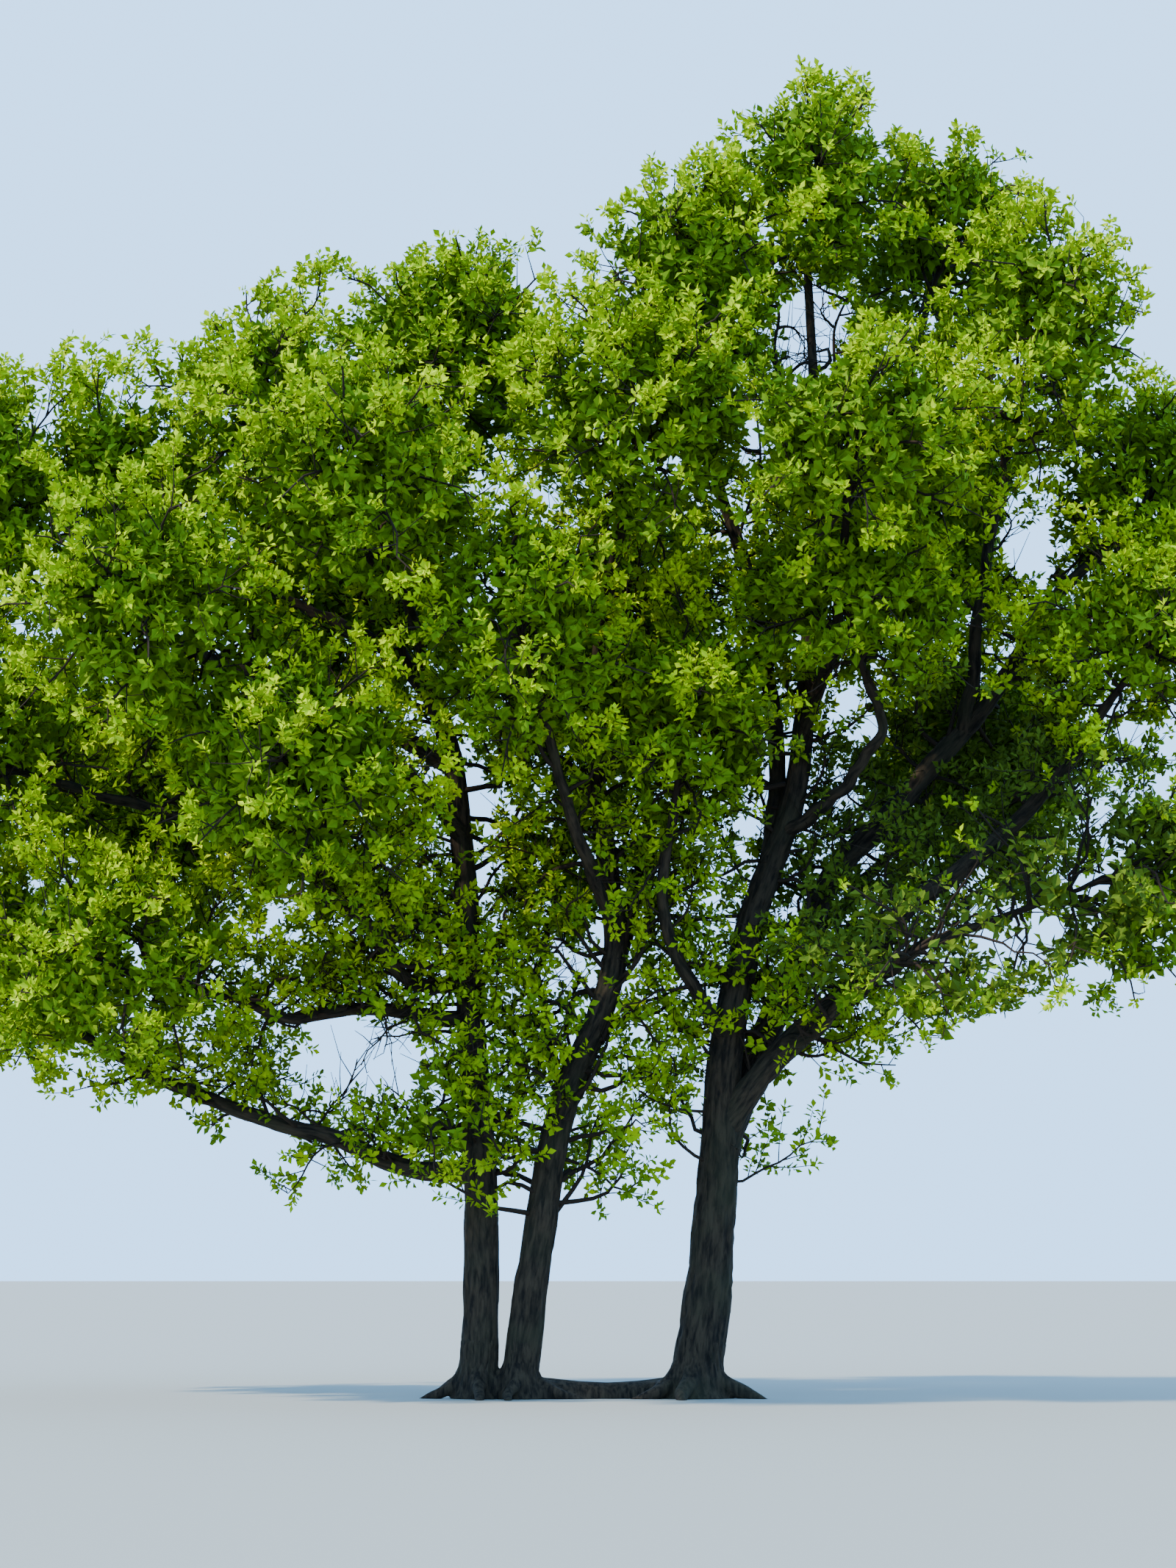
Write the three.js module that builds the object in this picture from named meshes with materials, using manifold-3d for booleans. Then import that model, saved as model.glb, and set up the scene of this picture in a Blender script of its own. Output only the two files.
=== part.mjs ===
// An old multi-stemmed oak: three leaning stems rise from one low root stool, each carries
// boughs that leave it one by one, and each bough ends in a mass of foliage of its own.
// A mass is a short stem that forks into twigs, and each leaf on them stands for a whole
// spray, so the leaves are far larger than life. The crown is seen with +X to the right and
// +Y away, and the flat cut under the stool lies on z = 0.
import * as THREE from "three";
import { mergeVertices } from "three/addons/utils/BufferGeometryUtils.js";
import Module from "manifold-3d";

const wasm = await Module();
wasm.setup();

// Driving dimensions, in millimetres.
const METRE = 1000;
const CLEARANCE = 0.3; // between a piece and the one that carries it
const STOOL_TOP = 450; // the height at which the three stems leave the stool
const FOOT_FLARE = 1.75; // a foot's radius at the ground over its radius at the stool's top
const ROOT_RUN = 900; // how far a root ridge runs out from its foot
const ROOT_RIDGES = 3; // on each foot
const RIDGE_HEIGHT = 260; // the low ridge that joins the three feet
const TAPER = 0.76; // the power by which a bough thins from root to tip
const COLLAR = 0.28; // how much thicker a bough is where it leaves its parent
const COLLAR_RUN = 420; // the length over which that thickening dies away
const STEM_SIDES = 9;
const BOUGH_SIDES = 6;
const LIMB_CLEARANCE = 12; // between a leaf or twig and any limb it passes
const SPACE_MARGIN = 12; // between a leaf and the edge of its mass's own space
const LEAF_LENGTH = 0.8; // of a mass's mean reach
const LEAF_WIDTH = 0.82; // of a leaf's length
const LEAF_THICKNESS = 0.08; // of a leaf's length
const LEAF_ANGLE = 62; // degrees between a side leaf and its twig
const LEAF_SINK = 5; // how far a side leaf's root runs past its twig's middle line
const STEM_TIP = 54; // the radius at the tip of a mass's stem
const TWIG_RADIUS = 29; // of a side twig, from its root to its last leaf
const LEAF_TRIES = 40; // turns that a leaf tries before it is left out
const GOLDEN_ANGLE = Math.PI * (3 - Math.sqrt(5));

// The stems, from foot to tip: places in metres, radii in millimetres, and the power by which
// each thins. A stem that gives off its largest boughs low down is thin above them.
const STEMS = [
  {
    name: "stem_left",
    radii: [240, 58],
    taper: 1,
    path: [
      [-1.36, 0, 0.2],
      [-1.31, 0, 1.6],
      [-1.33, -0.02, 2.8],
      [-1.47, 0, 4.6],
      [-1.6, 0.08, 6.9],
      [-1.85, 0.1, 8.5],
      [-2.45, 0.1, 9.5],
      [-2.5, 0.15, 10.6],
      [-2.15, 0.25, 12.5],
    ],
  },
  {
    name: "stem_middle",
    radii: [222, 58],
    taper: 0.85,
    path: [
      [-0.85, -0.1, 0.2],
      [-0.64, -0.1, 1.8],
      [-0.27, -0.15, 3.7],
      [0.18, -0.2, 4.8],
      [0.34, -0.22, 5.5],
      [0.26, -0.3, 6.4],
      [0.08, -0.45, 7.8],
      [0.16, -0.9, 9.3],
      [0.45, -1.7, 10.8],
    ],
  },
  {
    name: "stem_right",
    radii: [316, 54],
    taper: 1.4,
    path: [
      [1.34, 0.1, 0.2],
      [1.5, 0.1, 1.4],
      [1.64, 0.1, 2.9],
      [1.72, 0.08, 4.2],
      [2.08, 0, 6],
      [2.6, 0, 7.5],
      [2.78, 0.08, 9],
      [2.96, 0.15, 11.6],
      [2.9, 0.2, 13],
      [2.84, 0.2, 14.3],
    ],
  },
];

// The boughs: the limb each grows on, the height on a stem or the share along a bough where
// it leaves, the bends it runs round, its radii, and the mass of foliage it ends in.
const BOUGHS = [
  {
    name: "bough_left_shoulder",
    on: "stem_left",
    height: 10.2,
    bends: [[-3.1, -0.2, 11.1]],
    radii: [72, 52],
    mass: "foliage_left_shoulder",
  },
  {
    name: "bough_left_outer_high",
    on: "stem_left",
    height: 9.3,
    bends: [
      [-3.2, 0.2, 9.75],
      [-4.1, 0.35, 10.25],
      [-4.75, 0.45, 10.75],
    ],
    radii: [86, 54],
    mass: "foliage_left_outer_high",
  },
  {
    name: "bough_far_left_high",
    on: "stem_left",
    height: 7.9,
    bends: [
      [-3.3, 0.5, 8.75],
      [-5, 0.35, 9.4],
      [-6.3, 0.1, 10],
    ],
    radii: [105, 56],
    mass: "foliage_far_left_high",
  },
  {
    name: "bough_left_front_high",
    on: "stem_left",
    height: 8.7,
    bends: [[-2.25, -1.3, 9.8]],
    radii: [84, 54],
    mass: "foliage_left_front_high",
  },
  {
    name: "bough_left_back_high",
    on: "stem_left",
    height: 8.5,
    bends: [[-2.35, 1.5, 9.5]],
    radii: [84, 54],
    mass: "foliage_left_back_high",
  },
  {
    name: "bough_left_front",
    on: "stem_left",
    height: 7,
    bends: [
      [-2.5, -1.1, 7.9],
      [-3.6, -2.1, 8.6],
    ],
    radii: [98, 56],
    mass: "foliage_left_front",
  },
  {
    name: "bough_left_back",
    on: "stem_left",
    height: 5.5,
    bends: [
      [-2.3, 1, 6.3],
      [-3.7, 2.2, 7],
    ],
    radii: [112, 58],
    mass: "foliage_left_back",
  },
  {
    name: "bough_far_left",
    on: "stem_left",
    height: 5.65,
    bends: [
      [-2.25, 0, 5.97],
      [-3.26, -0.15, 6.4],
      [-5.1, -0.5, 7.15],
    ],
    radii: [104, 56],
    mass: "foliage_far_left",
  },
  {
    name: "bough_left_front_low",
    on: "stem_left",
    height: 5.1,
    bends: [
      [-2.3, -0.6, 5.15],
      [-2.65, -1.5, 5.75],
    ],
    radii: [88, 54],
    mass: "foliage_left_front_low",
  },
  {
    name: "bough_left_low",
    on: "stem_left",
    height: 4.7,
    bends: [
      [-2.4, -0.15, 4.72],
      [-3.15, -0.45, 4.78],
      [-3.75, -0.75, 4.7],
    ],
    radii: [92, 54],
    mass: "foliage_left_low",
  },
  {
    name: "bough_far_left_low",
    on: "stem_left",
    height: 2.72,
    bends: [
      [-2.25, 0.15, 2.86],
      [-3.26, 0.3, 3.25],
      [-4.3, 0.5, 3.5],
      [-6.1, 0.85, 4.35],
    ],
    radii: [122, 58],
    mass: "foliage_far_left_low",
  },
  {
    name: "bough_middle_front",
    on: "stem_middle",
    height: 5.8,
    bends: [[-0.15, -1.4, 6.9]],
    radii: [92, 54],
    mass: "foliage_middle_front",
  },
  {
    name: "bough_middle_back",
    on: "stem_middle",
    height: 5.35,
    bends: [
      [0.6, 0.15, 6.3],
      [0.8, 1.3, 7.5],
    ],
    radii: [128, 58],
    mass: "foliage_middle_back",
  },
  {
    name: "bough_middle_thin",
    on: "stem_middle",
    height: 3.7,
    bends: [
      [-0.52, 0.2, 4.5],
      [-0.62, 0.4, 5.2],
    ],
    radii: [66, 44],
    mass: "foliage_middle_low",
  },
  {
    name: "bough_right_inner_left",
    on: "stem_right",
    height: 4.35,
    bends: [
      [1.4, -0.3, 4.95],
      [1.05, -0.65, 5.5],
      [0.92, -1, 6.2],
    ],
    radii: [92, 54],
    mass: "foliage_middle",
  },
  {
    name: "bough_right_long",
    on: "stem_right",
    height: 3.3,
    bends: [
      [2.35, -0.15, 4.2],
      [3.45, -0.35, 5.2],
      [3.95, -0.4, 6],
      [5.15, -0.55, 6.95],
      [6, -0.75, 7.9],
    ],
    radii: [172, 58],
    mass: "foliage_right_outer",
  },
  {
    name: "bough_right_outer",
    on: "stem_right",
    height: 3.05,
    bends: [
      [2.15, 0.42, 4.3],
      [2.7, 0.5, 5.6],
      [3.1, 0.55, 6.5],
      [4.05, 0.55, 7.55],
      [5.05, 0.55, 8.7],
      [5.9, 0.55, 10],
    ],
    radii: [205, 62],
    mass: "foliage_right_outer_high",
  },
  {
    name: "bough_right_top_left",
    on: "stem_right",
    height: 6.6,
    bends: [
      [2.42, 0.4, 8.1],
      [2.2, 0.4, 9.7],
      [1.65, 0.4, 11.8],
    ],
    radii: [118, 56],
    mass: "foliage_right_top_left",
  },
  {
    name: "bough_right_top_right",
    on: "stem_right",
    height: 10.4,
    bends: [
      [3.6, 0.25, 11.9],
      [4.15, 0.3, 13.1],
    ],
    radii: [78, 52],
    mass: "foliage_right_top_right",
  },
  {
    name: "bough_right_shoulder",
    on: "bough_right_outer",
    along: 0.68,
    bends: [
      [5.05, 0.2, 10.2],
      [5.35, 0, 11.9],
    ],
    radii: [84, 52],
    mass: "foliage_right_shoulder",
  },
  {
    name: "bough_right_front_high",
    on: "stem_right",
    height: 8.2,
    bends: [[3.05, -1.3, 9.35]],
    radii: [88, 54],
    mass: "foliage_right_front_high",
  },
  {
    name: "bough_right_back_high",
    on: "stem_right",
    height: 8.7,
    bends: [[3.5, 1.5, 10]],
    radii: [86, 54],
    mass: "foliage_right_back_high",
  },
  {
    name: "bough_right_inner",
    on: "stem_right",
    height: 6.95,
    bends: [
      [3.2, -0.55, 7.55],
      [3.6, -1, 8.2],
    ],
    radii: [86, 54],
    mass: "foliage_right_inner",
  },
  {
    name: "bough_right_low_outer",
    on: "bough_right_long",
    along: 0.26,
    bends: [[4.3, -0.75, 5.6]],
    radii: [92, 54],
    mass: "foliage_right_low_outer",
  },
  {
    name: "bough_right_low",
    on: "bough_right_long",
    along: 0.16,
    bends: [[3.1, -1.1, 4.75]],
    radii: [80, 52],
    mass: "foliage_right_low",
  },
  {
    name: "bough_right_back",
    on: "bough_right_outer",
    along: 0.3,
    bends: [[3.5, 1.7, 6.5]],
    radii: [98, 56],
    mass: "foliage_right_back",
  },
];

// The masses of foliage: the middle and the reach to each side, in metres, and how many
// twigs leave the mass's stem, with three leaves on each.
const MASSES = [
  {
    name: "foliage_left_top",
    limb: "stem_left",
    middle: [-1.8, 0.3, 13.1],
    reach: [1.95, 2.2, 1.85],
    twigs: 6,
  },
  {
    name: "foliage_middle_high",
    limb: "stem_middle",
    middle: [0.65, -2.5, 11.65],
    reach: [2, 2.1, 1.85],
    twigs: 6,
  },
  {
    name: "foliage_right_top",
    limb: "stem_right",
    middle: [2.95, 0.2, 15.3],
    reach: [1.5, 2.2, 1.85],
    twigs: 6,
  },
  { name: "foliage_left_shoulder", middle: [-3.75, -0.8, 12], reach: [1.75, 2.1, 1.95], twigs: 6 },
  { name: "foliage_left_outer_high", middle: [-5.85, 0.6, 11.3], reach: [1.75, 2.2, 1.95], twigs: 6 },
  { name: "foliage_far_left_high", middle: [-7.7, -0.2, 11.1], reach: [1.95, 2.3, 2.05], twigs: 6 },
  { name: "foliage_left_front_high", middle: [-2.7, -3.3, 10.8], reach: [1.9, 2.1, 1.8], twigs: 6 },
  { name: "foliage_left_back_high", middle: [-3.2, 3.2, 10.7], reach: [2.3, 2.5, 2.1], twigs: 7 },
  { name: "foliage_left_front", middle: [-5, -3.4, 9.2], reach: [2, 2.2, 1.9], twigs: 6 },
  { name: "foliage_left_back", middle: [-5.8, 3.1, 8], reach: [2.6, 2.6, 2.3], twigs: 6 },
  { name: "foliage_far_left", middle: [-7.7, -0.9, 7.9], reach: [1.95, 2.4, 1.9], twigs: 6 },
  { name: "foliage_left_front_low", middle: [-3.4, -3.2, 7.3], reach: [2, 2.1, 1.9], twigs: 6 },
  { name: "foliage_left_low", middle: [-5.6, -1.7, 5.2], reach: [2, 2.2, 1.7], twigs: 6 },
  { name: "foliage_far_left_low", middle: [-7.8, 1.3, 5.4], reach: [1.9, 2.3, 1.8], twigs: 6 },
  {
    name: "foliage_stem_cluster",
    limb: "stem_left",
    height: 3,
    middle: [-1.85, -0.75, 3.4],
    reach: [0.95, 0.9, 1],
    twigs: 4,
  },
  { name: "foliage_middle_front", middle: [-0.8, -2.9, 9.05], reach: [1.65, 2, 1.95], twigs: 6 },
  { name: "foliage_middle_back", middle: [0.3, 3, 9.7], reach: [2.3, 2.5, 2.5], twigs: 7 },
  { name: "foliage_middle", middle: [1.2, -1.5, 8.2], reach: [1.6, 2, 1.6], twigs: 6 },
  { name: "foliage_middle_low", middle: [-0.4, 0.6, 6.5], reach: [1, 1.4, 1.15], twigs: 4 },
  { name: "foliage_right_top_left", middle: [1.35, -1.1, 13.7], reach: [1.7, 2.2, 1.85], twigs: 6 },
  { name: "foliage_right_top_right", middle: [4.7, 1.4, 14.9], reach: [1.65, 2.2, 1.9], twigs: 6 },
  { name: "foliage_right_shoulder", middle: [5.65, -1.2, 13.1], reach: [1.5, 2.1, 1.9], twigs: 6 },
  { name: "foliage_right_front_high", middle: [3.15, -3.2, 11.2], reach: [2.1, 2.1, 1.7], twigs: 6 },
  { name: "foliage_right_back_high", middle: [4.5, 2.9, 11.5], reach: [2.2, 2.5, 2.1], twigs: 7 },
  { name: "foliage_right_inner", middle: [3.2, -1.8, 9.55], reach: [2, 2.2, 1.4], twigs: 6 },
  { name: "foliage_right_outer_high", middle: [7.3, 0.6, 11.5], reach: [1.75, 2.2, 1.7], twigs: 6 },
  { name: "foliage_right_outer", middle: [7, -1.2, 9.3], reach: [2.2, 2.5, 1.3], twigs: 6 },
  { name: "foliage_right_low_outer", middle: [6.1, -1.6, 6.2], reach: [2.3, 2.4, 1.7], twigs: 7 },
  { name: "foliage_right_low", middle: [3.9, -2.4, 5.3], reach: [1.7, 2, 1.3], twigs: 6 },
  { name: "foliage_right_back", middle: [5, 3.1, 8], reach: [2.4, 2.5, 2.1], twigs: 7 },
];

// Openings that run right through the crown, where the sky shows from the front: the middle
// and the reach across and up, in metres, on the plane of the stems. They widen with distance
// from an eye that far in front of the stems.
const EYE = { distance: 46, height: 1.6 };
const OPENINGS = [
  { middle: [2.85, 13.45], reach: [0.62, 0.72] },
  { middle: [2.16, 12], reach: [0.2, 0.38] },
  { middle: [5.6, 10.75], reach: [0.5, 0.55] },
  { middle: [-0.3, 14.7], reach: [0.16, 0.6] },
  { middle: [3.75, 16.3], reach: [0.12, 0.5] },
  { middle: [-1.2, 10.2], reach: [0.14, 0.42] },
  { middle: [-1.33, 7.4], reach: [0.25, 0.35] },
  { middle: [-2.85, 4.3], reach: [0.95, 0.85] },
  { middle: [3.27, 7.45], reach: [0.42, 0.8] },
  { middle: [3.7, 8.3], reach: [0.6, 0.32] },
  { middle: [6.9, 8.25], reach: [0.45, 0.42] },
];

const BARK = { color: 0x4b4239, roughness: 0.95, metalness: 0 };
const LEAF = { color: 0x8fae2c, roughness: 0.75, metalness: 0 };

const place = ([x, y, z]) => new THREE.Vector3(x, y, z).multiplyScalar(METRE);
const between = (low, high, share) => low + (high - low) * share;

// Numbers from 0 to 1 that are the same each time for the same seed.
function seeded(seed) {
  let state = seed >>> 0;
  return () => {
    state = (state + 0x6d2b79f5) >>> 0;
    let t = Math.imul(state ^ (state >>> 15), 1 | state);
    t = (t + Math.imul(t ^ (t >>> 7), 61 | t)) ^ t;
    return ((t ^ (t >>> 14)) >>> 0) / 4294967296;
  };
}

function solidOf(geometry) {
  geometry.deleteAttribute("normal");
  geometry.deleteAttribute("uv");
  const merged = mergeVertices(geometry, 1e-3);
  return new wasm.Manifold(
    new wasm.Mesh({
      numProp: 3,
      vertProperties: merged.attributes.position.array,
      triVerts: new Uint32Array(merged.index.array),
    }),
  );
}

function geometryOf(solid) {
  const mesh = solid.getMesh();
  const geometry = new THREE.BufferGeometry();
  geometry.setAttribute("position", new THREE.BufferAttribute(new Float32Array(mesh.vertProperties), 3));
  geometry.setIndex(new THREE.BufferAttribute(new Uint32Array(mesh.triVerts), 1));
  geometry.computeVertexNormals();
  return geometry;
}

function largestBody(solid) {
  return solid.decompose().sort((a, b) => b.volume() - a.volume())[0];
}

// A closed tapering tube round a curve. radiusAt takes the share along the curve.
function tubeAlong(curve, radiusAt, sides, steps, grow = 0) {
  const geometry = new THREE.CylinderGeometry(1, 1, 1, sides, steps);
  const frames = curve.computeFrenetFrames(steps, false);
  const position = geometry.attributes.position;
  for (let i = 0; i < position.count; i += 1) {
    const ring = Math.round((position.getY(i) + 0.5) * steps);
    const radius = radiusAt(ring / steps) + grow;
    const point = curve
      .getPointAt(ring / steps)
      .addScaledVector(frames.normals[ring], position.getX(i) * radius)
      .addScaledVector(frames.binormals[ring], -position.getZ(i) * radius);
    if (ring === 0) point.addScaledVector(frames.tangents[0], -grow);
    if (ring === steps) point.addScaledVector(frames.tangents[steps], grow);
    position.setXYZ(i, point.x, point.y, point.z);
  }
  return solidOf(geometry);
}

// The share along a curve at which it reaches a height, in metres.
function shareAtHeight(curve, height) {
  let low = 0;
  let high = 1;
  for (let i = 0; i < 40; i += 1) {
    const mid = (low + high) / 2;
    if (curve.getPointAt(mid).z < height * METRE) low = mid;
    else high = mid;
  }
  return low;
}

// Each limb made so far: its curve, end, solid and a copy grown by the clearance.
const limbs = new Map();

function addLimb(name, points, radii, taper, sides, steps, collar) {
  const curve = new THREE.CatmullRomCurve3(points, false, "centripetal");
  curve.arcLengthDivisions = 400;
  const length = curve.getLength();
  const [root, tip] = radii;
  const radiusAt = (share) =>
    (tip + (root - tip) * (1 - share) ** taper) *
    (1 + collar * Math.exp(-(share * length) / COLLAR_RUN));
  let solid = tubeAlong(curve, radiusAt, sides, steps);
  for (const other of limbs.values()) solid = solid.subtract(other.grown);
  if (!collar) solid = solid.trimByPlane([0, 0, 1], STOOL_TOP + CLEARANCE);
  const frames = curve.computeFrenetFrames(steps, false);
  limbs.set(name, {
    curve,
    radiusAt,
    solid: largestBody(solid),
    grown: tubeAlong(curve, radiusAt, sides, steps, CLEARANCE),
    wide: tubeAlong(curve, radiusAt, sides, steps, LIMB_CLEARANCE),
    end: curve.getPointAt(1),
    heading: frames.tangents[steps].clone(),
    tip,
  });
}

// Each mass keeps to an ellipsoid, cut off by a flat plane half way to each neighbour.
const spaces = MASSES.map(({ name, middle, reach }) => ({
  name,
  middle: place(middle),
  reach: place(reach),
}));

function reachTowards(space, direction) {
  const { x, y, z } = direction.clone().divide(space.reach);
  return 1 / Math.hypot(x, y, z);
}

for (const space of spaces) {
  space.walls = [];
  for (const other of spaces) {
    if (other === space) continue;
    const direction = other.middle.clone().sub(space.middle);
    const distance = direction.length();
    direction.normalize();
    const own = reachTowards(space, direction);
    const theirs = reachTowards(other, direction);
    if (own + theirs > distance)
      space.walls.push({ direction, offset: (distance + own - theirs) / 2 - SPACE_MARGIN });
  }
}

function isInside(space, point, fill = 1) {
  const { x, y, z } = point.clone().sub(space.middle).divide(space.reach);
  if (Math.hypot(x, y, z) > fill) return false;
  const offset = point.clone().sub(space.middle);
  if (!space.walls.every((wall) => offset.dot(wall.direction) < wall.offset)) return false;
  return OPENINGS.every(({ middle, reach: [across, up] }) => {
    const nearer = EYE.distance / (EYE.distance + point.y / METRE);
    const right = (point.x / METRE) * nearer - middle[0];
    const above = EYE.height + (point.z / METRE - EYE.height) * nearer - middle[1];
    return Math.hypot(right / across, above / up) > 1;
  });
}

// Where a bough that comes from a point ends in its mass: well inside the mass's space.
function entryPoint(space, from) {
  const direction = from.clone().sub(space.middle).normalize();
  const reach = reachTowards(space, direction);
  let share = 0.62;
  let point;
  do {
    point = space.middle.clone().addScaledVector(direction, reach * share);
    share -= 0.04;
  } while (share > 0.1 && !isInside(space, point, 0.95));
  return point;
}

for (const { name, radii, taper, path } of STEMS)
  addLimb(name, path.map(place), radii, taper, STEM_SIDES, 14, 0);

for (const { name, on, height, along, bends, radii, mass } of BOUGHS) {
  const parent = limbs.get(on).curve;
  const root = parent.getPointAt(along ?? shareAtHeight(parent, height));
  const turns = bends.map(place);
  const space = spaces.find((one) => one.name === mass);
  space.limb = name;
  const points = [root, ...turns, entryPoint(space, turns.at(-1))];
  addLimb(name, points, radii, TAPER, BOUGH_SIDES, 3 + bends.length, COLLAR);
}

// The stool: a flared foot under each stem, root ridges running out, and a low ridge that
// joins the feet, all cut flat at the ground and at the height where the stems begin.
function stoolSolid() {
  const random = seeded(11);
  const pieces = [];
  const feet = STEMS.map(({ name, radii }) => {
    const { curve } = limbs.get(name);
    const top = curve.getPointAt(shareAtHeight(curve, (STOOL_TOP + 150) / METRE));
    const ground = curve.getPointAt(0).setZ(-120);
    const flare = (share) => 1.03 + (FOOT_FLARE - 1) * Math.max(0, 1 - share * 1.25) ** 2;
    const line = new THREE.LineCurve3(ground, top);
    pieces.push(tubeAlong(line, (share) => radii[0] * flare(share), STEM_SIDES, 3));
    return { ground, radius: radii[0] };
  });
  for (const { ground, radius } of feet)
    for (let i = 0; i < ROOT_RIDGES; i += 1) {
      const angle = (i + 0.5 * random()) * ((Math.PI * 2) / ROOT_RIDGES) + 0.6;
      const run = ROOT_RUN * (0.75 + 0.5 * random());
      const out = new THREE.Vector3(Math.cos(angle), Math.sin(angle), 0);
      const inner = ground.clone().setZ(STOOL_TOP * 0.6).addScaledVector(out, radius * 0.3);
      const knee = ground.clone().setZ(STOOL_TOP * 0.2).addScaledVector(out, radius * 1.5);
      const outer = ground.clone().setZ(-70).addScaledVector(out, radius + run);
      const line = new THREE.QuadraticBezierCurve3(inner, knee, outer);
      pieces.push(tubeAlong(line, (share) => between(radius * 0.46, 35, share), 4, 2));
    }
  for (let i = 1; i < feet.length; i += 1) {
    const [from, to] = [feet[i - 1], feet[i]].map(({ ground }) => ground.clone().setZ(20));
    const height = (share) => RIDGE_HEIGHT * (0.74 + 0.16 * Math.cos(share * Math.PI * 2));
    pieces.push(tubeAlong(new THREE.LineCurve3(from, to), height, 6, 4));
  }
  const stool = pieces.reduce((all, piece) => all.add(piece));
  return largestBody(stool.trimByPlane([0, 0, 1], 0).trimByPlane([0, 0, -1], -STOOL_TOP));
}

// How far a line from a point stays inside a mass's space.
function roomAlong(space, from, direction) {
  let low = 0;
  let high = 6 * METRE;
  for (let i = 0; i < 24; i += 1) {
    const mid = (low + high) / 2;
    if (isInside(space, from.clone().addScaledVector(direction, mid))) low = mid;
    else high = mid;
  }
  return low;
}

// A three-sided shoot from a root along a direction: rings of [distance, half width, half
// thickness], flat across one way, and an apex at the end. Its last ring is a leaf's widest.
function shootSolid(root, direction, normal, rings, length) {
  const across = new THREE.Vector3().crossVectors(normal, direction).normalize();
  const through = new THREE.Vector3().crossVectors(direction, across).normalize();
  const pointed = rings[0][1] === 0;
  const geometry = new THREE.CylinderGeometry(0, pointed ? 0 : 1, 1, 3, rings.length);
  const position = geometry.attributes.position;
  const corners = [];
  for (let i = 0; i < position.count; i += 1) {
    const ring = Math.round((position.getY(i) + 0.5) * rings.length);
    const [distance, halfWidth, halfThickness] = rings[ring] ?? [length, 0, 0];
    const turn = geometry.attributes.uv.getX(i) * Math.PI * 2;
    const round = pointed
      ? new THREE.Vector2(Math.sin(turn), Math.cos(turn))
      : new THREE.Vector2(position.getX(i), position.getZ(i));
    if (round.length() > 1e-6) round.normalize();
    const point = root
      .clone()
      .addScaledVector(direction, distance)
      .addScaledVector(across, round.x * halfWidth)
      .addScaledVector(through, -round.y * halfThickness);
    position.setXYZ(i, point.x, point.y, point.z);
    corners.push(point);
  }
  return { solid: solidOf(geometry), corners };
}

function boxOf(solid) {
  const { min, max } = solid.boundingBox();
  return new THREE.Box3(new THREE.Vector3(...min), new THREE.Vector3(...max));
}

function touches(solid, box, others) {
  return others.some((other) => other.box.intersectsBox(box) && !other.solid.intersect(solid).isEmpty());
}

// A direction turned by an angle away from an axis, round it by a second angle.
function turned(axis, away, round) {
  const first = new THREE.Vector3(0, 0, 1).cross(axis);
  if (first.lengthSq() < 1e-6) first.set(1, 0, 0);
  first.normalize();
  const second = new THREE.Vector3().crossVectors(axis, first);
  return axis
    .clone()
    .multiplyScalar(Math.cos(away))
    .addScaledVector(first, Math.sin(away) * Math.cos(round))
    .addScaledVector(second, Math.sin(away) * Math.sin(round))
    .normalize();
}

const obstacles = [...limbs.values()].map(({ wide }) => ({ solid: wide, box: boxOf(wide) }));

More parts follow.
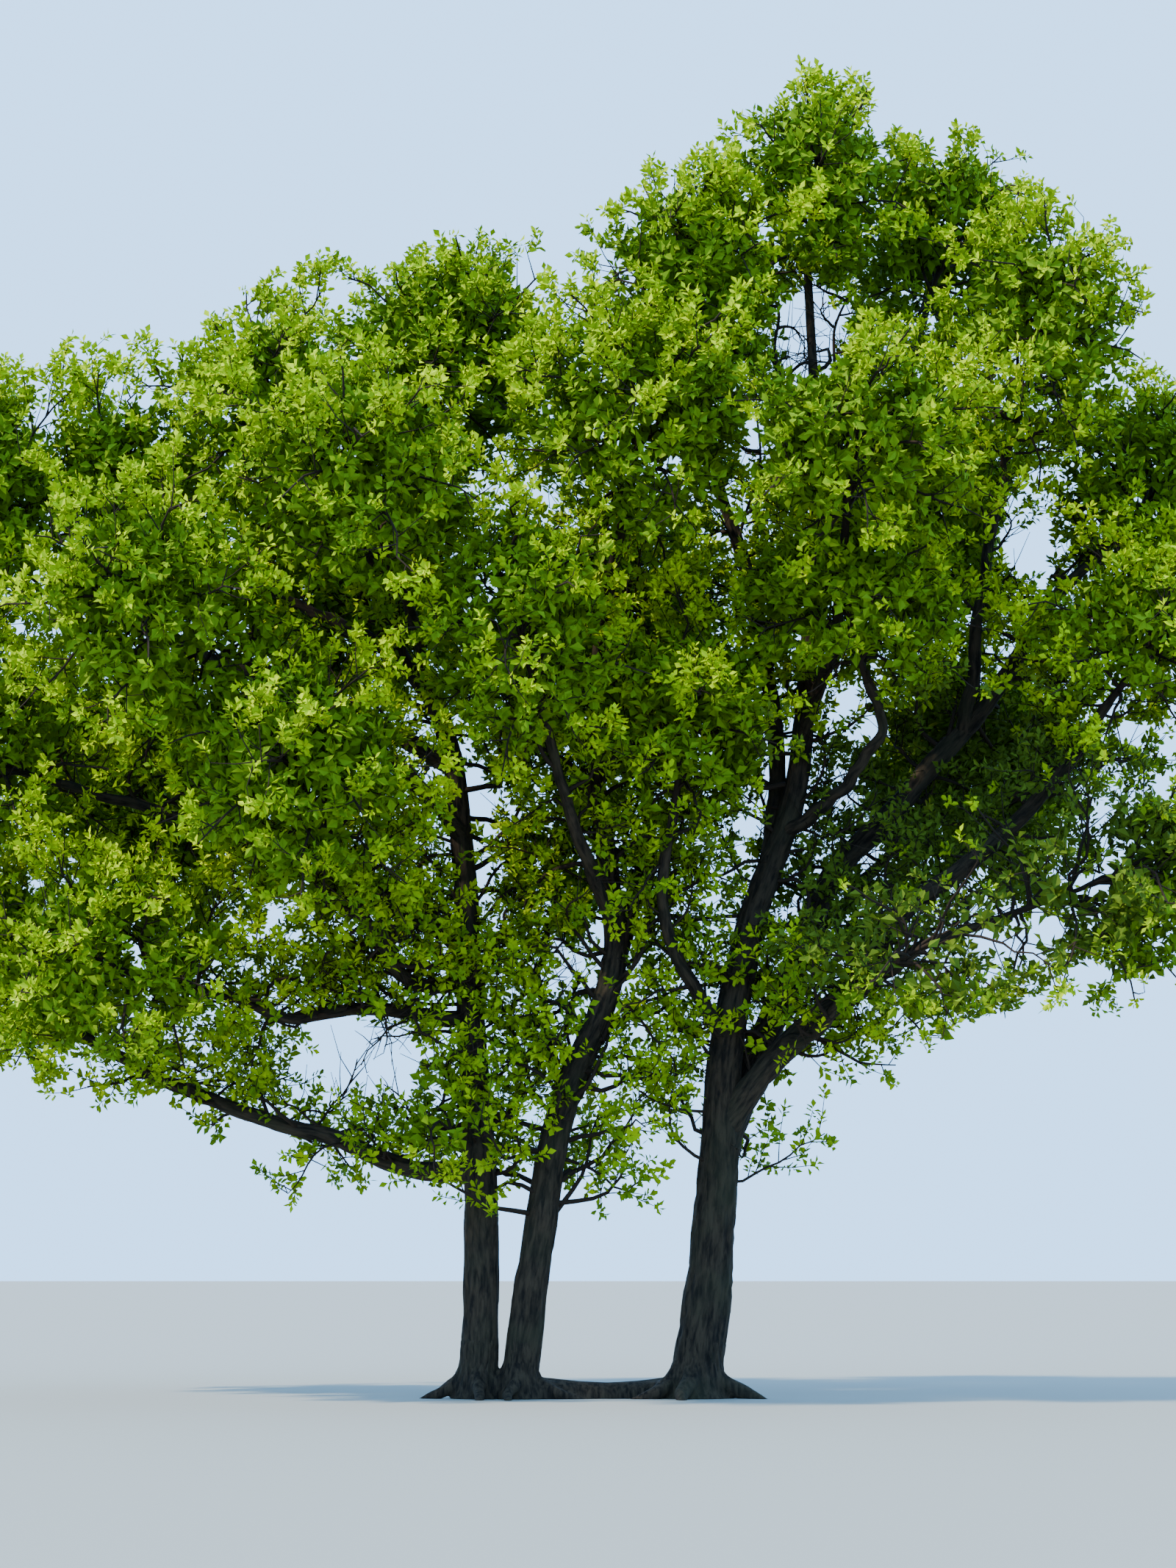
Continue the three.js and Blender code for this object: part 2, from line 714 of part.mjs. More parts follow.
// One mass: its stem, side twigs spread evenly by the golden angle, each running out into a
// leaf, and more leaves on its sides. A twig or leaf that would leave the mass's space, touch
// a limb or cross another one turns aside, and is left out after some tries.
function foliageSolid(space, spec, index) {
  const random = seeded(100 + index * 17);
  const limb = limbs.get(space.limb ?? spec.limb);
  const mean = (space.reach.x + space.reach.y + space.reach.z) / 3;
  const leafLength = mean * LEAF_LENGTH;
  let start = limb.end.clone().addScaledVector(limb.heading, CLEARANCE);
  let heading = limb.heading;
  if (spec.height) {
    start = limb.curve.getPointAt(shareAtHeight(limb.curve, spec.height));
    heading = space.middle.clone().sub(start).normalize();
  }
  const finish = start.clone().lerp(space.middle, 1.3);
  const bend = start.clone().addScaledVector(heading, start.distanceTo(finish) * 0.4);
  const line = new THREE.QuadraticBezierCurve3(start, bend, finish);
  let stem = tubeAlong(line, (share) => between(limb.tip * 0.98, STEM_TIP, share), 3, 2);
  if (spec.height) stem = largestBody(stem.subtract(limb.grown));
  const pieces = [{ solid: stem, box: boxOf(stem) }];

  const grow = (root, course, away, size, own) => {
    for (let i = 0; i < LEAF_TRIES; i += 1) {
      const angle = THREE.MathUtils.degToRad(away * (0.8 + 0.4 * random()) * (own ? 1 : i / 6));
      const direction = turned(course, angle, random() * Math.PI * 2);
      const normal = turned(direction, Math.PI / 2, random() * Math.PI * 2);
      const room = roomAlong(space, root, direction) * 0.98;
      const long = Math.min(size * (1 - (0.35 * i) / LEAF_TRIES), own ? room : room * 0.78);
      if (long < size * 0.45) continue;
      const stalk = own ? -LEAF_SINK : Math.min(room - long, size * 1.2);
      const halfWidth = (long * LEAF_WIDTH) / Math.sqrt(3);
      const widest = [stalk + long * 0.5, halfWidth, (long * LEAF_THICKNESS) / 1.5];
      const twig = [0, stalk].map((distance) => [distance, TWIG_RADIUS, TWIG_RADIUS]);
      const rings = own ? [[stalk, 0, 0], widest] : [...twig, widest];
      const { solid, corners } = shootSolid(root, direction, normal, rings, stalk + long);
      const box = boxOf(solid);
      if (!corners.every((corner) => isInside(space, corner))) continue;
      const others = pieces.filter((piece) => piece !== (own ?? pieces[0]));
      if (touches(solid, box, obstacles) || touches(solid, box, others)) continue;
      const made = { solid, box, root, direction, stalk };
      pieces.push(made);
      return made;
    }
    return null;
  };

  const directions = Array.from({ length: spec.twigs }, (_, i) => {
    const height = 1 - (2 * i + 1) / spec.twigs;
    const round = i * GOLDEN_ANGLE + random() * 0.5 + index;
    const flat = Math.sqrt(1 - height * height);
    return new THREE.Vector3(Math.cos(round) * flat, Math.sin(round) * flat, height);
  }).sort((a, b) => a.dot(heading) - b.dot(heading));
  const twigs = [];
  for (const [i, direction] of directions.entries()) {
    const root = line.getPointAt(between(0.3, 0.96, i / (spec.twigs - 1)));
    const outer = space.middle.clone().add(direction.clone().multiply(space.reach));
    const made = grow(root, outer.sub(root).normalize(), 12, leafLength, null);
    if (made) twigs.push(made);
  }
  for (const share of [0.88, 0.5])
    for (const twig of twigs) {
      const foot = twig.root.clone().addScaledVector(twig.direction, twig.stalk * share);
      grow(foot, twig.direction, LEAF_ANGLE, leafLength, twig);
    }
  return largestBody(pieces.map(({ solid }) => solid).reduce((all, solid) => all.add(solid)));
}

const oak = new THREE.Group();
oak.name = "multi_stemmed_oak";

function addNode(name, solid, look) {
  const mesh = new THREE.Mesh(geometryOf(solid), new THREE.MeshStandardMaterial(look));
  mesh.name = name;
  oak.add(mesh);
}

addNode("root_stool", stoolSolid(), BARK);
for (const [name, { solid }] of limbs) addNode(name, solid, BARK);
MASSES.forEach((spec, index) => addNode(spec.name, foliageSolid(spaces[index], spec, index), LEAF));

export default oak;
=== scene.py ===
# %% [markdown]
# # A multi-stemmed oak in young leaf
# Three leaning stems rise from one low root stool, and each of their boughs ends in a mass
# of foliage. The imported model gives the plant's size and place. This script dresses it, with
# furrowed bark on the limbs, and with twigs and leaves in place of the plain masses.

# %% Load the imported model
import math

import bmesh
import bpy
import numpy as np
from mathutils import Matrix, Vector
from mathutils.kdtree import KDTree


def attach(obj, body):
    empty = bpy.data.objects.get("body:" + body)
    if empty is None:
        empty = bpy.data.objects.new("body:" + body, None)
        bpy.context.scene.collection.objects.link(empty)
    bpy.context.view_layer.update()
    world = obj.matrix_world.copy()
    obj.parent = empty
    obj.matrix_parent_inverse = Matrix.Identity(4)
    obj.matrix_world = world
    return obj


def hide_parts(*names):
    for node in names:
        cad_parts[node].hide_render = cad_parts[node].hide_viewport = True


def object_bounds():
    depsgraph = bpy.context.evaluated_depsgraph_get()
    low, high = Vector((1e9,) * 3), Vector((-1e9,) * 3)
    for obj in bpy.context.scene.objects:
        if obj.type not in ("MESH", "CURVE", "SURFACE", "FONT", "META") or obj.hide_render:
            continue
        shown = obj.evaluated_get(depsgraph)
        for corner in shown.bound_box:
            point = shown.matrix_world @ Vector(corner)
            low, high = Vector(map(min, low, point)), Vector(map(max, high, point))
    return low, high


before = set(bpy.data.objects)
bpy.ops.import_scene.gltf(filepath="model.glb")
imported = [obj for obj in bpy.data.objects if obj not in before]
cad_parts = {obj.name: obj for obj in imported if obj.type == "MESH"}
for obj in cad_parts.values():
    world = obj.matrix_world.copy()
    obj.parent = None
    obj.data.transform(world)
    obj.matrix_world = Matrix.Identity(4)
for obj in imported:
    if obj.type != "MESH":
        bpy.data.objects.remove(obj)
cad_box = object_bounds()
print("packed model:", len(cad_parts), "nodes, box", np.round(cad_box, 2).tolist())

# %% [markdown]
# ## Small helpers
# Colours are written as the hex values that a paint chart gives, and Blender works in linear
# light, so one function turns the first into the second. Another adds a node to any tree,
# sets its values and joins its links, which keeps each tree as short as a recipe. The rest
# stand for what is done often.

# %% Helpers for colours, objects and nodes
def linear(code):
    channels = [int(code[i : i + 2], 16) / 255 for i in (1, 3, 5)]
    return [c / 12.92 if c <= 0.04045 else ((c + 0.055) / 1.055) ** 2.4 for c in channels] + [1.0]


def put(name, data):
    made = bpy.data.objects.new(name, data)
    bpy.context.scene.collection.objects.link(made)
    return made


def as_mesh(shape, name):
    mesh = bpy.data.meshes.new(name)
    shape.to_mesh(mesh)
    shape.free()
    return mesh


def plain(name, code, roughness, shine):
    material = bpy.data.materials.new(name)
    material.use_nodes = True
    shader = material.node_tree.nodes["Principled BSDF"]
    shader.inputs["Base Color"].default_value = linear(code)
    shader.inputs["Roughness"].default_value = roughness
    shader.inputs["Specular IOR Level"].default_value = shine
    return material


def mark(mesh, label, values, kind="FLOAT"):
    """Stores a value with each point of a mesh, for a tree to read."""
    values = np.asarray(values).astype(np.int32 if kind == "INT" else np.float32)
    layer = mesh.attributes.new(label, kind, "POINT").data
    layer.foreach_set("vector" if kind == "FLOAT_VECTOR" else "value", values.ravel())


def add(tree, kind, inputs=None, **settings):
    node = tree.nodes.new(kind)
    for name, value in settings.items():
        setattr(node, name, value)
    for key, value in (inputs or {}).items():
        if isinstance(value, bpy.types.NodeSocket):
            tree.links.new(value, node.inputs[key])
        else:
            node.inputs[key].default_value = value
    return node


def reckon(tree, operation, *values):
    return add(tree, "ShaderNodeMath", dict(enumerate(values)), operation=operation).outputs[0]


def noise(tree, place, scale, detail, **more):
    values = {"Vector": place, "Scale": scale, "Detail": detail, **more}
    return add(tree, "ShaderNodeTexNoise", values).outputs["Fac"]


def ranged(tree, value, *bounds):
    """Moves a value from between the first two bounds to between the others, or 0 and 1."""
    values = {"Value": value, **dict(enumerate(bounds, 1))}
    return add(tree, "ShaderNodeMapRange", values).outputs["Result"]


def stored(tree, label, kind="FLOAT"):
    return add(tree, "GeometryNodeInputNamedAttribute", {"Name": label}, data_type=kind).outputs[0]


def keep(tree, shape, label, value, kind="FLOAT"):
    values = {"Geometry": shape, "Name": label, "Value": value}
    return add(tree, "GeometryNodeStoreNamedAttribute", values, data_type=kind, domain="POINT").outputs[0]


def new_tree(name, inputs):
    """A geometry tree with one output and some named inputs, and the sockets these give."""
    tree = bpy.data.node_groups.new(name, "GeometryNodeTree")
    for label, kind in inputs.items():
        tree.interface.new_socket(name=label, in_out="INPUT", socket_type=f"NodeSocket{kind}")
    tree.interface.new_socket(name="Made", in_out="OUTPUT", socket_type="NodeSocketGeometry")
    return tree, add(tree, "NodeGroupInput").outputs


def baked(source):
    """The plain mesh that an object's modifiers make. The object and they are removed."""
    shape = source.evaluated_get(bpy.context.evaluated_depsgraph_get())
    mesh = bpy.data.meshes.new_from_object(shape)
    source.modifiers.clear()
    bpy.data.objects.remove(source)
    return mesh


def grown(source, tree, settings, name):
    """Runs a tree on an object and returns the result as a plain mesh object."""
    modifier = source.modifiers.new(tree.name, "NODES")
    modifier.node_group = tree
    for label, value in settings.items():
        modifier[tree.interface.items_tree[label].identifier] = value
    mesh = baked(source)
    mesh.name = name
    mesh.calc_loop_triangles()
    print(name, len(mesh.loop_triangles), "triangles")
    return put(name, mesh)


# %% [markdown]
# ## The view
# The oak is seen from open ground, from a little under eye height and from so far away that
# its limbs hardly taper with distance. A long lens keeps that flat look, and the camera tilts
# up so that the feet and the top are both in the picture.

# %% Camera
EYE = (0.0, -46.0, 1.6)
AIM = (0.0, 0.0, 7.66)

lens = bpy.data.cameras.new("field_camera")
lens.lens = 84.3
lens.sensor_width = 36.0
lens.clip_end = 900.0
camera = put("field_camera", lens)
camera.location = EYE
camera.rotation_euler = (Vector(AIM) - Vector(EYE)).to_track_quat("-Z", "Y").to_euler()
bpy.context.scene.camera = camera
print("camera", EYE, "looks at", AIM)

# %% [markdown]
# ## The limbs, worked out again
# A limb is a smooth curve through a few places, in metres, with a radius at its root and one
# at its tip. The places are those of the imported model, so that the bark fits over its solids.

# %% Stems and boughs
TAPER = 0.76  # the power by which a bough thins; each stem has its own
COLLAR = 0.28  # how much thicker a bough is where it leaves its parent
COLLAR_RUN = 0.42  # the length over which that dies away

STEMS = {
    "stem_left": ((0.240, 0.058), 1.0, [(-1.36, 0, 0.2), (-1.31, 0, 1.6), (-1.33, -0.02, 2.8),
        (-1.47, 0, 4.6), (-1.6, 0.08, 6.9), (-1.85, 0.1, 8.5), (-2.45, 0.1, 9.5), (-2.5, 0.15, 10.6),
        (-2.15, 0.25, 12.5)]),
    "stem_middle": ((0.222, 0.058), 0.85, [(-0.85, -0.1, 0.2), (-0.64, -0.1, 1.8), (-0.27, -0.15, 3.7),
        (0.18, -0.2, 4.8), (0.34, -0.22, 5.5), (0.26, -0.3, 6.4), (0.08, -0.45, 7.8), (0.16, -0.9, 9.3),
        (0.45, -1.7, 10.8)]),
    "stem_right": ((0.316, 0.054), 1.4, [(1.34, 0.1, 0.2), (1.5, 0.1, 1.4), (1.64, 0.1, 2.9),
        (1.72, 0.08, 4.2), (2.08, 0, 6), (2.6, 0, 7.5), (2.78, 0.08, 9), (2.96, 0.15, 11.6),
        (2.9, 0.2, 13), (2.84, 0.2, 14.3)]),
}

# Each bough: the limb it leaves, the height (over 1) or the share along it, its two radii,
# and the bends it runs round.
BOUGHS = {
    "left_shoulder": ("stem_left", 10.2, (0.072, 0.052), [(-3.1, -0.2, 11.1)]),
    "left_outer_high": ("stem_left", 9.3, (0.086, 0.054), [(-3.2, 0.2, 9.75), (-4.1, 0.35, 10.25),
        (-4.75, 0.45, 10.75)]),
    "far_left_high": ("stem_left", 7.9, (0.105, 0.056), [(-3.3, 0.5, 8.75), (-5, 0.35, 9.4),
        (-6.3, 0.1, 10)]),
    "left_front_high": ("stem_left", 8.7, (0.084, 0.054), [(-2.25, -1.3, 9.8)]),
    "left_back_high": ("stem_left", 8.5, (0.084, 0.054), [(-2.35, 1.5, 9.5)]),
    "left_front": ("stem_left", 7, (0.098, 0.056), [(-2.5, -1.1, 7.9), (-3.6, -2.1, 8.6)]),
    "left_back": ("stem_left", 5.5, (0.112, 0.058), [(-2.3, 1, 6.3), (-3.7, 2.2, 7)]),
    "far_left": ("stem_left", 5.65, (0.104, 0.056), [(-2.25, 0, 5.97), (-3.26, -0.15, 6.4),
        (-5.1, -0.5, 7.15)]),
    "left_front_low": ("stem_left", 5.1, (0.088, 0.054), [(-2.3, -0.6, 5.15), (-2.65, -1.5, 5.75)]),
    "left_low": ("stem_left", 4.7, (0.092, 0.054), [(-2.4, -0.15, 4.72), (-3.15, -0.45, 4.78),
        (-3.75, -0.75, 4.7)]),
    "far_left_low": ("stem_left", 2.72, (0.122, 0.058), [(-2.25, 0.15, 2.86), (-3.26, 0.3, 3.25),
        (-4.3, 0.5, 3.5), (-6.1, 0.85, 4.35)]),
    "middle_front": ("stem_middle", 5.8, (0.092, 0.054), [(-0.15, -1.4, 6.9)]),
    "middle_back": ("stem_middle", 5.35, (0.128, 0.058), [(0.6, 0.15, 6.3), (0.8, 1.3, 7.5)]),
    "middle_thin": ("stem_middle", 3.7, (0.066, 0.044), [(-0.52, 0.2, 4.5), (-0.62, 0.4, 5.2)]),
    "right_inner_left": ("stem_right", 4.35, (0.092, 0.054), [(1.4, -0.3, 4.95), (1.05, -0.65, 5.5),
        (0.92, -1, 6.2)]),
    "right_long": ("stem_right", 3.3, (0.172, 0.058), [(2.35, -0.15, 4.2), (3.45, -0.35, 5.2),
        (3.95, -0.4, 6), (5.15, -0.55, 6.95), (6, -0.75, 7.9)]),
    "right_outer": ("stem_right", 3.05, (0.205, 0.062), [(2.15, 0.42, 4.3), (2.7, 0.5, 5.6),
        (3.1, 0.55, 6.5), (4.05, 0.55, 7.55), (5.05, 0.55, 8.7), (5.9, 0.55, 10)]),
    "right_top_left": ("stem_right", 6.6, (0.118, 0.056), [(2.42, 0.4, 8.1), (2.2, 0.4, 9.7),
        (1.65, 0.4, 11.8)]),
    "right_top_right": ("stem_right", 10.4, (0.078, 0.052), [(3.6, 0.25, 11.9), (4.15, 0.3, 13.1)]),
    "right_shoulder": ("right_outer", 0.68, (0.084, 0.052), [(5.05, 0.2, 10.2), (5.35, 0, 11.9)]),
    "right_front_high": ("stem_right", 8.2, (0.088, 0.054), [(3.05, -1.3, 9.35)]),
    "right_back_high": ("stem_right", 8.7, (0.086, 0.054), [(3.5, 1.5, 10)]),
    "right_inner": ("stem_right", 6.95, (0.086, 0.054), [(3.2, -0.55, 7.55), (3.6, -1, 8.2)]),
    "right_low_outer": ("right_long", 0.26, (0.092, 0.054), [(4.3, -0.75, 5.6)]),
    "right_low": ("right_long", 0.16, (0.080, 0.052), [(3.1, -1.1, 4.75)]),
    "right_back": ("right_outer", 0.3, (0.098, 0.056), [(3.5, 1.7, 6.5)]),
}
# Forks too slight for a solid: their radii and places. They cross two openings near the top.
FORKS = {
    "fork_left": ((0.034, 0.012), [(2.97, 0.17, 12.2), (2.55, 0.1, 12.7), (2.4, 0.05, 13.3),
        (2.45, 0, 13.8), (2.15, 0, 14.4)]),
    "fork_right": ((0.03, 0.012), [(2.94, 0.18, 12.6), (3.15, 0.1, 13), (3.18, 0.1, 13.6),
        (3.45, 0.1, 14.2)]),
    "fork_far_left": ((0.03, 0.012), [(2.3, 0.4, 9.1), (1.9, 0.2, 9.9), (1.95, 0.1, 10.9),
        (2.2, 0, 11.8), (2.1, 0, 12.8)]),
}
# The bough whose mass has another name than its own.
ENDS_IN = {"middle_thin": "middle_low", "right_inner_left": "middle", "right_long": "right_outer",
    "right_outer": "right_outer_high"}
print(len(STEMS), "stems,", len(BOUGHS), "boughs")

# %% Masses of foliage and openings
# Each mass: its middle, its reach to each side, and where no bough carries it the stem that
# does, with the height at which it leaves that stem below its tip.
MASSES = {
    "left_top": ((-1.8, 0.3, 13.1), (1.95, 2.2, 1.85), "stem_left"),
    "middle_high": ((0.65, -2.5, 11.65), (2, 2.1, 1.85), "stem_middle"),
    "right_top": ((2.95, 0.2, 15.3), (1.5, 2.2, 1.85), "stem_right"),
    "left_shoulder": ((-3.75, -0.8, 12), (1.75, 2.1, 1.95)),
    "left_outer_high": ((-5.85, 0.6, 11.3), (1.75, 2.2, 1.95)),
    "far_left_high": ((-7.7, -0.2, 11.1), (1.95, 2.3, 2.05)),
    "left_front_high": ((-2.7, -3.3, 10.8), (1.9, 2.1, 1.8)),
    "left_back_high": ((-3.2, 3.2, 10.7), (2.3, 2.5, 2.1)),
    "left_front": ((-5, -3.4, 9.2), (2, 2.2, 1.9)),
    "left_back": ((-5.8, 3.1, 8), (2.6, 2.6, 2.3)),
    "far_left": ((-7.7, -0.9, 7.9), (1.95, 2.4, 1.9)),
    "left_front_low": ((-3.4, -3.2, 7.3), (2, 2.1, 1.9)),
    "left_low": ((-5.6, -1.7, 5.2), (2, 2.2, 1.7)),
    "far_left_low": ((-7.8, 1.3, 5.4), (1.9, 2.3, 1.8)),
    "stem_cluster": ((-1.85, -0.75, 3.4), (0.95, 0.9, 1), "stem_left", 3),
    "middle_front": ((-0.8, -2.9, 9.05), (1.65, 2, 1.95)),
    "middle_back": ((0.3, 3, 9.7), (2.3, 2.5, 2.5)),
    "middle": ((1.2, -1.5, 8.2), (1.6, 2, 1.6)),
    "middle_low": ((-0.4, 0.6, 6.5), (1, 1.4, 1.15)),
    "right_top_left": ((1.35, -1.1, 13.7), (1.7, 2.2, 1.85)),
    "right_top_right": ((4.7, 1.4, 14.9), (1.65, 2.2, 1.9)),
    "right_shoulder": ((5.65, -1.2, 13.1), (1.5, 2.1, 1.9)),
    "right_front_high": ((3.15, -3.2, 11.2), (2.1, 2.1, 1.7)),
    "right_back_high": ((4.5, 2.9, 11.5), (2.2, 2.5, 2.1)),
    "right_inner": ((3.2, -1.8, 9.55), (2, 2.2, 1.4)),
    "right_outer_high": ((7.3, 0.6, 11.5), (1.75, 2.2, 1.7)),
    "right_outer": ((7, -1.2, 9.3), (2.2, 2.5, 1.3)),
    "right_low_outer": ((6.1, -1.6, 6.2), (2.3, 2.4, 1.7)),
    "right_low": ((3.9, -2.4, 5.3), (1.7, 2, 1.3)),
    "right_back": ((5, 3.1, 8), (2.4, 2.5, 2.1)),
}

# Where the sky shows through: the middle and the reach, across and up, in the stems' plane.
OPENINGS = [
    ((2.85, 13.45), (0.62, 0.72)), ((2.16, 12), (0.2, 0.38)), ((5.6, 10.75), (0.5, 0.55)),
    ((-0.4, 14.7), (0.1, 0.6)), ((3.75, 16.3), (0.12, 0.5)), ((-1.2, 10.2), (0.1, 0.3)),
    ((-2.85, 4.3), (0.95, 0.85)), ((-1.33, 7.4), (0.2, 0.35)), ((0.02, 6.55), (0.2, 0.4)),
    ((-0.3, 5.2), (0.3, 0.3)), ((3.3, 7.6), (0.25, 0.45)), ((3.45, 6.8), (0.4, 0.3)),
    ((3.7, 8.3), (0.4, 0.25)), ((6.9, 8.25), (0.3, 0.28)), ((6.65, 6.85), (0.25, 0.25)),
]
VEILED = 8  # the last of them, low in the crown, lie behind a veil of sparse leaves
CLEAR_OPENINGS = OPENINGS[:-VEILED]

# Low on the right the leaves are painted a deeper green, as painted shade under the crown,
# and thin in front of the limbs, so that these show dark.
THIN = [((4.6, 6.9), (2.3, 1.6))]
THIN_SHARE = 0.2  # of the sprays in front of the limbs that are left there
THIN_NEARER = 0.4  # they stand in front of this depth
PAINTED_SHADE_DEEPER = 0.35  # how much deeper the green is there
PAINTED_SHADE_NEARER = 2  # and in front of this depth
print(len(MASSES), "masses,", len(OPENINGS), "openings")

# %% [markdown]
# ## Curves and spaces
# A centripetal Catmull-Rom curve runs through its places without loops, which suits a limb
# that grew round its bends. Each mass keeps to an ellipsoid, cut off half way to each
# neighbour, so that two masses meet and never mix. Between neighbours the twigs reach a
# little further and close the crown. An opening is a cone from the eye.

# %% Curves
def unit(v):
    return v / np.maximum(np.linalg.norm(v, axis=-1, keepdims=True), 1e-9)


def between(low, high, share):
    return low + (high - low) * share


def spread(low, high, count, jitter, random):
    """Shares from low to high in even steps, each moved on by up to a part of a step."""
    return between(low, high, (np.arange(count) + random.uniform(0, jitter, count)) / count)


def even_path(dense, count):
    """A path of even steps along a dense one, and its length."""
    run = np.r_[0, np.cumsum(np.linalg.norm(np.diff(dense, axis=0), axis=1))]
    even = np.linspace(0, run[-1], count)
    return np.column_stack([np.interp(even, run, dense[:, k]) for k in range(3)]), run[-1]


def smooth_path(places, count):
    p = np.array(places, float)
    p = np.vstack([2 * p[0] - p[1], p, 2 * p[-1] - p[-2]])
    dense = []
    for a, b, c, d in zip(p, p[1:], p[2:], p[3:]):
        before, here, after = (np.linalg.norm(v) ** 0.5 for v in (b - a, c - b, d - c))
        leave = ((b - a) / before - (c - a) / (before + here) + (c - b) / here) * here
        arrive = ((c - b) / here - (d - b) / (here + after) + (d - c) / after) * here
        w = np.linspace(0, 1, 80)[:, None]
        dense.append(b + leave * w + (3 * (c - b) - 2 * leave - arrive) * w**2
            + (2 * (b - c) + leave + arrive) * w**3)
    return even_path(np.vstack(dense), count)


def bezier(a, b, c, count):
    t = np.linspace(0, 1, count)[:, None]
    return a * (1 - t) ** 2 + 2 * b * t * (1 - t) + c * t**2


def at(path, share):
    """Points and headings at some shares along a path of even steps."""
    where = np.clip(share, 0, 1) * (len(path) - 1)
    low = np.minimum(where.astype(int), len(path) - 2)
    step = path[low + 1] - path[low]
    return path[low] + step * (where - low)[:, None], unit(step)


# %% Spaces
FRINGE = 1.12  # how far out in a mass the furthest shoots stand
BRIDGE = 1.4  # how far they reach where another mass is as near
WALL = 0.012  # half of what is left between two masses

spaces = {}
for name, (middle, reach, *_) in MASSES.items():
    spaces[name] = {"middle": np.array(middle, float), "reach": np.array(reach, float), "walls": [],
        "near": []}


def reach_towards(space, direction):
    return 1 / np.linalg.norm(direction / space["reach"])


for space in spaces.values():
    for other in spaces.values():
        if other is space:
            continue
        step = other["middle"] - space["middle"]
        distance = np.linalg.norm(step)
        own, theirs = reach_towards(space, step / distance), reach_towards(other, step / distance)
        if own + theirs > distance:
            space["walls"].append((step / distance, (distance + own - theirs) / 2 - WALL))
        if (own + theirs) * BRIDGE > distance:
            space["near"].append(other)


def in_opening(points, widen=1.0, openings=OPENINGS):
    nearer = -EYE[1] / (points[:, 1] - EYE[1])
    across = points[:, 0] * nearer
    up = EYE[2] + (points[:, 2] - EYE[2]) * nearer
    found = np.zeros(len(points), bool)
    for (x, z), (wide, high) in openings:
        found |= np.hypot((across - x) / (wide * widen), (up - z) / (high * widen)) <= 1
    return found


def thinned(points, random):
    """Which points are left bare in front of the limbs low on the right."""
    before = in_opening(points, random.uniform(0.85, 1.1), THIN) & (points[:, 1] < THIN_NEARER)
    return before & (random.uniform(0, 1, len(points)) > THIN_SHARE)


def depth_in(space, points):
    """0 in the middle of a mass, 1 at the edge of its ellipsoid."""
    return np.linalg.norm((points - space["middle"]) / space["reach"], axis=1)


def inside(space, points, fill=1.0, bridge=0.0, widen=1.0, openings=OPENINGS):
    depth = depth_in(space, points)
    kept = depth <= fill
    if bridge:
        neighbours = [depth_in(other, points) <= bridge for other in space["near"]]
        kept |= (depth <= bridge) & np.any(neighbours, axis=0)
    for direction, limit in space["walls"]:
        kept &= (points - space["middle"]) @ direction < limit
    return kept & ~in_opening(points, widen, openings)


print("walls between masses:", sum(len(s["walls"]) for s in spaces.values()) // 2)

# %% Clumps
# Oak shoots crowd together towards the light and leave dark hollows between them. A clump's
# middle stands in each cell of a grid, well off its centre, and leaves keep near one of them.
CLUMP_STEP = 0.84
CLUMP_REACH = 0.43
CLUMP_EDGE = (0.84, 1.08)  # how far out in a mass its clumps end, each at its own depth
SHADE = 0.7  # the depth in a mass under which all twigs carry broad shade leaves

random = np.random.default_rng(77)
near_corner, far_corner = (np.array(corner) for corner in cad_box)
steps = [np.arange(a, b, CLUMP_STEP) for a, b in zip(near_corner, far_corner)]
cells = np.stack(np.meshgrid(*steps, indexing="ij"), -1)
middles = cells.reshape(-1, 3) + random.uniform(0, 0.9, (cells.size // 3, 3)) * CLUMP_STEP
edges = random.uniform(*CLUMP_EDGE, len(middles))


def finder(points):
    tree = KDTree(len(points))
    for i, point in enumerate(points):
        tree.insert(point, i)
    tree.balance()
    return tree


clumps = finder(middles)


def clump_at(points):
    """How high each point is in its clump, from -1 to 1, whether it is in one, and its edge."""
    found = [clumps.find(point) for point in points]
    lift = [(point[2] - middle[2]) / CLUMP_REACH for point, (middle, _, _) in zip(points, found)]
    clumped = np.array([distance for _, _, distance in found]) < CLUMP_REACH
    return np.array(lift), clumped, edges[[i for _, i, _ in found]]


print("clumps:", len(middles))

# %% Limb paths
limbs = {}


def add_limb(name, places, radii, taper, collar):
    path, length = smooth_path(places, 240)
    share = np.linspace(0, 1, len(path))
    radius = radii[1] + (radii[0] - radii[1]) * (1 - share) ** taper
    radius *= 1 + collar * np.exp(-share * length / COLLAR_RUN)
    limbs[name] = {"path": path, "radius": radius, "length": length}


def entry_point(space, start):
    """Where a bough ends: well inside its mass, on its own side, and in no opening."""
    direction = unit(start - space["middle"])
    reach = reach_towards(space, direction)
    for share in np.arange(0.62, 0.1, -0.04):
        point = space["middle"] + direction * reach * share
        if inside(space, point[None], 0.95)[0]:
            break
    return point


for name, (radii, taper, places) in STEMS.items():
    add_limb(name, places, radii, taper, 0)
for name, (parent, where, radii, bends) in BOUGHS.items():
    path = limbs[parent]["path"]
    along = np.argmax(path[:, 2] > where) if where > 1 else round(where * (len(path) - 1))
    space = spaces[ENDS_IN.get(name, name)]
    space["limb"] = name
    end = entry_point(space, np.array(bends[-1]))
    add_limb(name, [path[along], *bends, end], radii, TAPER, COLLAR)
for name, (radii, places) in FORKS.items():
    add_limb(name, places, radii, 1.0, 0)
print("limb lengths in all:", round(sum(limb["length"] for limb in limbs.values()), 1), "m")
